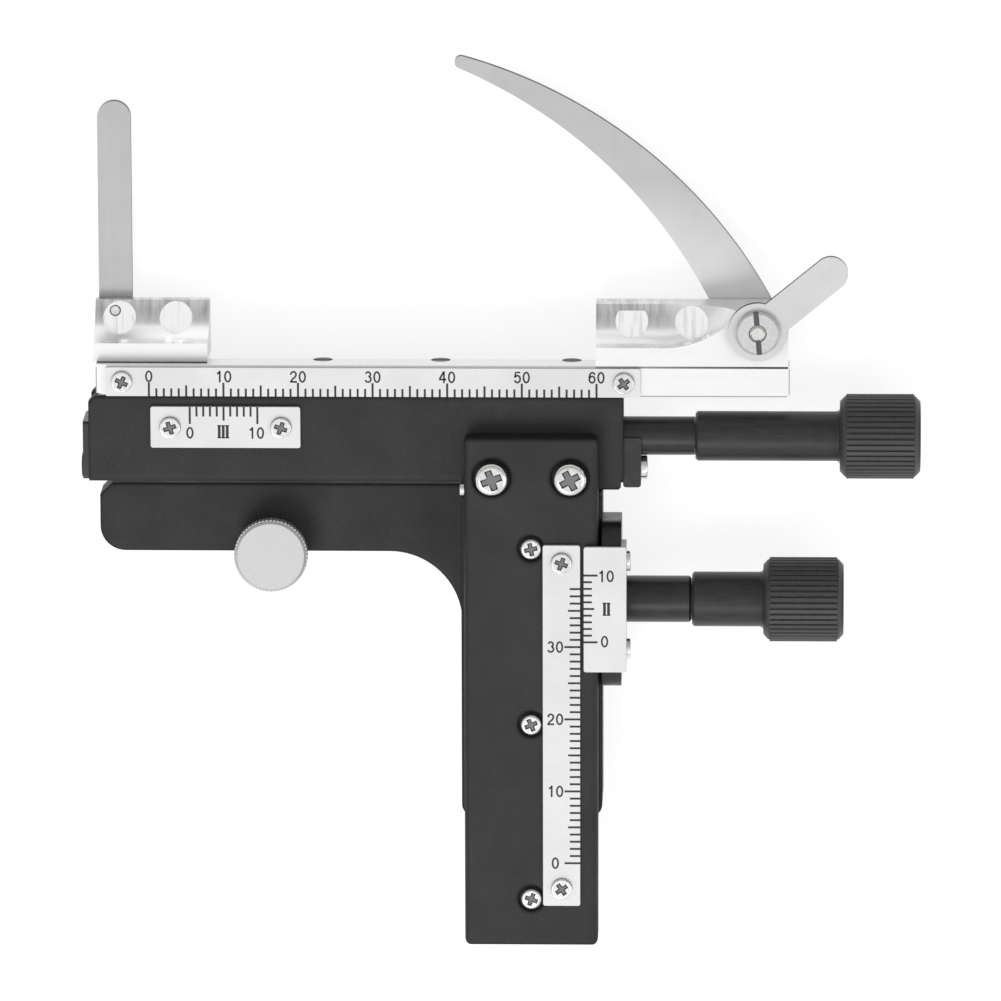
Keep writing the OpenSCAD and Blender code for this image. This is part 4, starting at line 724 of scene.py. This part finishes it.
heads("beam_screws", "carriage", "+z", [20, 28], 2.4, False)
heads("rack_screws", "carriage", "+z", [12, 24, 70], 1.1, False)
heads("y_scale_screws", "carriage", "+z", [70, 35], 0.55, True)
heads("x_vernier_screws", "carriage", "+z", [20, 70], 0.55, True)
heads("x_strip_screws", "slide_holder", "+z", [65, 35], 0.55, True)
heads("vernier_bracket_screws", "base", "+x", [30, 30], 0.55, True)
heads("keeper_screw", "carriage", "+x", [15], 0.9, False)
heads("end_plate_screw", "carriage", "-x", [45], 0.35, False)
heads("side_screw", "carriage", "-x", [20], 0.6, False)


# Lines of painted shade where the blocks meet the bar, on the bar's edges and in the nut's slot, and the
# drives' dark collars

# Width of the strip behind the bar's top that is left for the painted shadow lines where the blocks meet the
# bar, in millimetres
GAP_SHADOW_W = 0.35
bar_back = edge_of("slide_bar", 1, True)
bar_top = top_of("slide_bar")
left_lo, left_hi = (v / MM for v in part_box("left_block"))
right_lo, right_hi = (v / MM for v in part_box("right_block"))


def block(bm, low, high):
    """A box between two corners in millimetres."""
    low, high = Vector(low), Vector(high)
    size = Matrix.Diagonal((*((high - low) * MM), 1))
    bmesh.ops.create_cube(bm, size=1.0, matrix=Matrix.Translation((low + high) / 2 * MM) @ size)


# Painted shadow: a dark strip on the bar's back wall just above the left block's top
def left_seam(bm):
    block(bm, (left_lo.x + 0.6, bar_back - 0.01, left_hi.z - 0.01),
          (left_hi.x, bar_back + 0.02, left_hi.z + 0.75))


mesh_piece("left_seam", left_seam, RECESS, "slide_holder")


def bar_outline(bm):
    """Thin shaded lines on the bar's bevels along its front edge and its two ends."""
    bar_lo, bar_hi = (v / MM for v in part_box("slide_bar"))
    strip_lo, strip_hi = (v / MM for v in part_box("x_scale_strip"))
    low, high = bar_hi.z - 0.03, bar_hi.z + 0.008
    corner, front_w, end_w = 0.3, 0.13, 0.12
    for x0, x1 in ((bar_lo.x + corner, strip_lo.x), (strip_hi.x, bar_hi.x - corner)):
        block(bm, (x0, bar_lo.y, low), (x1, bar_lo.y + front_w, high))
    for x0, x1 in ((bar_hi.x - end_w, bar_hi.x), (bar_lo.x, bar_lo.x + end_w)):
        block(bm, (x0, bar_lo.y + corner, low), (x1, bar_back - GAP_SHADOW_W, high))


EDGE = plain("edge_shade", (0.3, 0.3, 0.3), 0.0, 0.6)
mesh_piece("bar_outline", bar_outline, EDGE, "slide_holder")


def seam_shade():
    """Painted shadow along the right block's foot: dark at the pivot's end and lighter toward the block's
    left end.
    """
    mat, nodes, links, bsdf = material("shaded_seam")
    place = along(nodes, links, "X", right_lo.x, right_hi.x)
    shade = ramp(nodes, links, place, [(0.0, 0.4), (0.5, 0.12), (0.9, 0.02)])
    links.new(shade, bsdf.inputs["Base Color"])
    bsdf.inputs["Roughness"].default_value = 0.6
    return mat


# Painted shadow: a thin strip on the bar's top along its back edge, under the right block
def right_seam(bm):
    block(bm, (right_lo.x, bar_back - 0.34, bar_top - 0.01), (right_hi.x, bar_back, bar_top + 0.015))


mesh_piece("right_seam", right_seam, seam_shade(), "slide_holder")

nut_lo, nut_hi = (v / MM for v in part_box("slotted_nut"))
nut_mid = (nut_lo + nut_hi) / 2
nut_r = (nut_hi.x - nut_lo.x) / 2


def nut_slot(bm):
    """Painted shade in the nut's slot, in two parts on both sides of the stud's end, and a ring of painted
    shadow round that end.
    """
    spot = Vector((nut_mid.x, nut_mid.y, nut_hi.z))
    stud_r, half_w, turn = 1.12, 0.31, math.radians(95)
    for a, b in ((stud_r, nut_r - 0.05), (-nut_r + 0.05, -stud_r)):
        outline = [(a, -half_w), (b, -half_w), (b, half_w), (a, half_w)]
        prism(bm, spot, AXES["+z"], turn, outline, -0.6, -0.12)
    flat_ring(bm, spot, AXES["+z"], 1.09, 1.21, -0.1)


mesh_piece("nut_slot", nut_slot, RIM, "finger")


def tip_outlines(bm):
    """Thin rings of painted shadow round the finger screws' tips, which show in the left block's pocket."""
    for group in islands("finger_screws"):
        top = max(p.z for p in group)
        rim = [p for p in group if p.z > top - 0.02]
        x0, x1 = min(p.x for p in rim), max(p.x for p in rim)
        y0, y1 = min(p.y for p in rim), max(p.y for p in rim)
        r = (x1 - x0) / 2
        flat_ring(bm, Vector(((x0 + x1) / 2, (y0 + y1) / 2, top - 0.02)), AXES["+z"], r - 0.01, r + 0.15, 0)


mesh_piece("finger_screw_line", tip_outlines, RIM, "slide_holder")


# How far a collar stays clear of the fixed bush, in millimetres
COLLAR_GAP = 0.03


def collar(bush, knob, inset):
    """A collar between a drive's bush and its sleeve, smaller than the bush by an inset, in the near-black of
    painted shade.

    It turns with the sleeve and stays clear of the bush.
    """
    def build(bm):
        bush_lo, bush_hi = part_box(bush)
        sleeve_lo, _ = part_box(knob)
        middle = (bush_lo + bush_hi) / 2
        start = bush_hi.x + COLLAR_GAP * MM
        place = Vector(((start + sleeve_lo.x) / 2, middle.y, middle.z))
        r = (bush_hi.z - bush_lo.z) / 2 - inset * MM
        turned = Matrix.Translation(place) @ Matrix.Rotation(math.radians(90), 4, "Y")
        bmesh.ops.create_cone(bm, cap_ends=True, segments=48, radius1=r, radius2=r,
                              depth=sleeve_lo.x - start, matrix=turned)

    return build


mesh_piece("x_collar", collar("x_bush", "x_knob", 0.1), RECESS, "x_drive")
mesh_piece("y_collar", collar("y_bush", "y_knob", 0.35), RECESS, "y_drive")


# Floor, light and camera

# The object's middle on the floor, and how far below the object the floor lies, in metres
MIDDLE = (0.03, 0.005)
FLOOR_GAP = 0.00005
FLOOR_SIZE = 3.0
floor_z = cad_box[0][2] - FLOOR_GAP


def floor_material():
    """A floor that the camera and reflections see as almost white."""
    mat, nodes, links, bsdf = material("pale_floor")
    bsdf.inputs["Base Color"].default_value = (0.3, 0.3, 0.3, 1)
    bsdf.inputs["Roughness"].default_value = 0.9
    glow = nodes.new("ShaderNodeEmission")
    glow.inputs["Color"].default_value = (1, 1, 1, 1)
    path = nodes.new("ShaderNodeLightPath")
    first = nodes.new("ShaderNodeMath")
    first.operation = "ADD"
    links.new(path.outputs["Is Camera Ray"], first.inputs[0])
    links.new(path.outputs["Is Glossy Ray"], first.inputs[1])
    seen = nodes.new("ShaderNodeMath")
    seen.operation = "ADD"
    seen.use_clamp = True
    links.new(first.outputs[0], seen.inputs[0])
    links.new(path.outputs["Is Transmission Ray"], seen.inputs[1])
    more = nodes.new("ShaderNodeMath")
    more.operation = "MULTIPLY"
    more.inputs[1].default_value = 0.8
    links.new(seen.outputs[0], more.inputs[0])
    links.new(more.outputs[0], glow.inputs["Strength"])
    add = nodes.new("ShaderNodeAddShader")
    links.new(bsdf.outputs[0], add.inputs[0])
    links.new(glow.outputs[0], add.inputs[1])
    links.new(add.outputs[0], nodes["Material Output"].inputs["Surface"])
    return mat


def floor(bm):
    bmesh.ops.create_grid(bm, x_segments=1, y_segments=1, size=FLOOR_SIZE,
                          matrix=Matrix.Translation((*MIDDLE, floor_z)))


mesh_object("floor", floor, floor_material())

world = bpy.data.worlds.new("studio")
bpy.context.scene.world = world
world.use_nodes = True
world_nodes, world_links = world.node_tree.nodes, world.node_tree.links
sky_dir = world_nodes.new("ShaderNodeTexCoord")
sky_parts = world_nodes.new("ShaderNodeSeparateXYZ")
world_links.new(sky_dir.outputs["Generated"], sky_parts.inputs[0])
sky_angle = world_nodes.new("ShaderNodeMath")
sky_angle.operation = "ARCTAN2"
world_links.new(sky_parts.outputs["Y"], sky_angle.inputs[0])
world_links.new(sky_parts.outputs["Z"], sky_angle.inputs[1])
sky_share = world_nodes.new("ShaderNodeMapRange")
sky_share.inputs["From Min"].default_value = -math.pi
sky_share.inputs["From Max"].default_value = math.pi
world_links.new(sky_angle.outputs[0], sky_share.inputs["Value"])
# The studio is bright in front of the object and above it, and darker behind it
sky = ramp(world_nodes, world_links, sky_share.outputs["Result"],
           [(0.25, 0.9), (0.528, 0.9), (0.578, 0.6), (0.667, 0.48), (0.75, 0.48)])
back = world_nodes["Background"]
world_links.new(sky, back.inputs["Color"])
back.inputs["Strength"].default_value = 1.0


def lamp(name, place, size, power):
    light = bpy.data.lights.new(name, "AREA")
    light.shape = "DISK"
    light.size = size
    light.energy = power
    obj = bpy.data.objects.new(name, light)
    obj.location = place
    aim = Vector((*MIDDLE, 0.005)) - Vector(place)
    obj.rotation_euler = aim.to_track_quat("-Z", "Y").to_euler()
    bpy.context.scene.collection.objects.link(obj)


lamp("key", (-0.25, -0.55, 1.0), 0.55, 4.0)
lamp("fill", (0.75, -0.25, 0.8), 0.6, 1.5)

# The camera looks down and is tilted a little toward the object's back and right, as in the photograph
DISTANCE = 1.25
TILT_X, TILT_Y = math.radians(1.6), math.radians(12.6)
ROLL = -0.0025
AIM = Vector((0.03036, 0.00514, 0.006))
# Side of the square picture, its focal length and its principal point, in pixels
PICTURE = 1001
FOCAL = 9261.07
PRINCIPAL_X, PRINCIPAL_Y = 497.29, 510.72
SENSOR = 36
away = Vector((math.tan(TILT_X), math.tan(TILT_Y), 1)).normalized()
level_right = (-away).cross(Vector((0, 1, 0))).normalized()
level_up = level_right.cross(-away)
right = level_right * math.cos(ROLL) + level_up * math.sin(ROLL)
up = level_up * math.cos(ROLL) - level_right * math.sin(ROLL)
cam_data = bpy.data.cameras.new("camera")
cam_data.sensor_width = SENSOR
cam_data.sensor_fit = "HORIZONTAL"
cam_data.lens = FOCAL * SENSOR / PICTURE
cam_data.shift_x = (PICTURE / 2 - PRINCIPAL_X) / PICTURE
cam_data.shift_y = (PRINCIPAL_Y - PICTURE / 2) / PICTURE
cam_data.clip_start = 0.01
cam_data.clip_end = 20
cam = bpy.data.objects.new("camera", cam_data)
cam.matrix_world = (Matrix.Translation(AIM + away * DISTANCE)
                    @ Matrix((right, up, away)).transposed().to_4x4())
bpy.context.scene.collection.objects.link(cam)
bpy.context.scene.camera = cam
bpy.context.scene.view_settings.view_transform = "Standard"

bpy.context.view_layer.update()
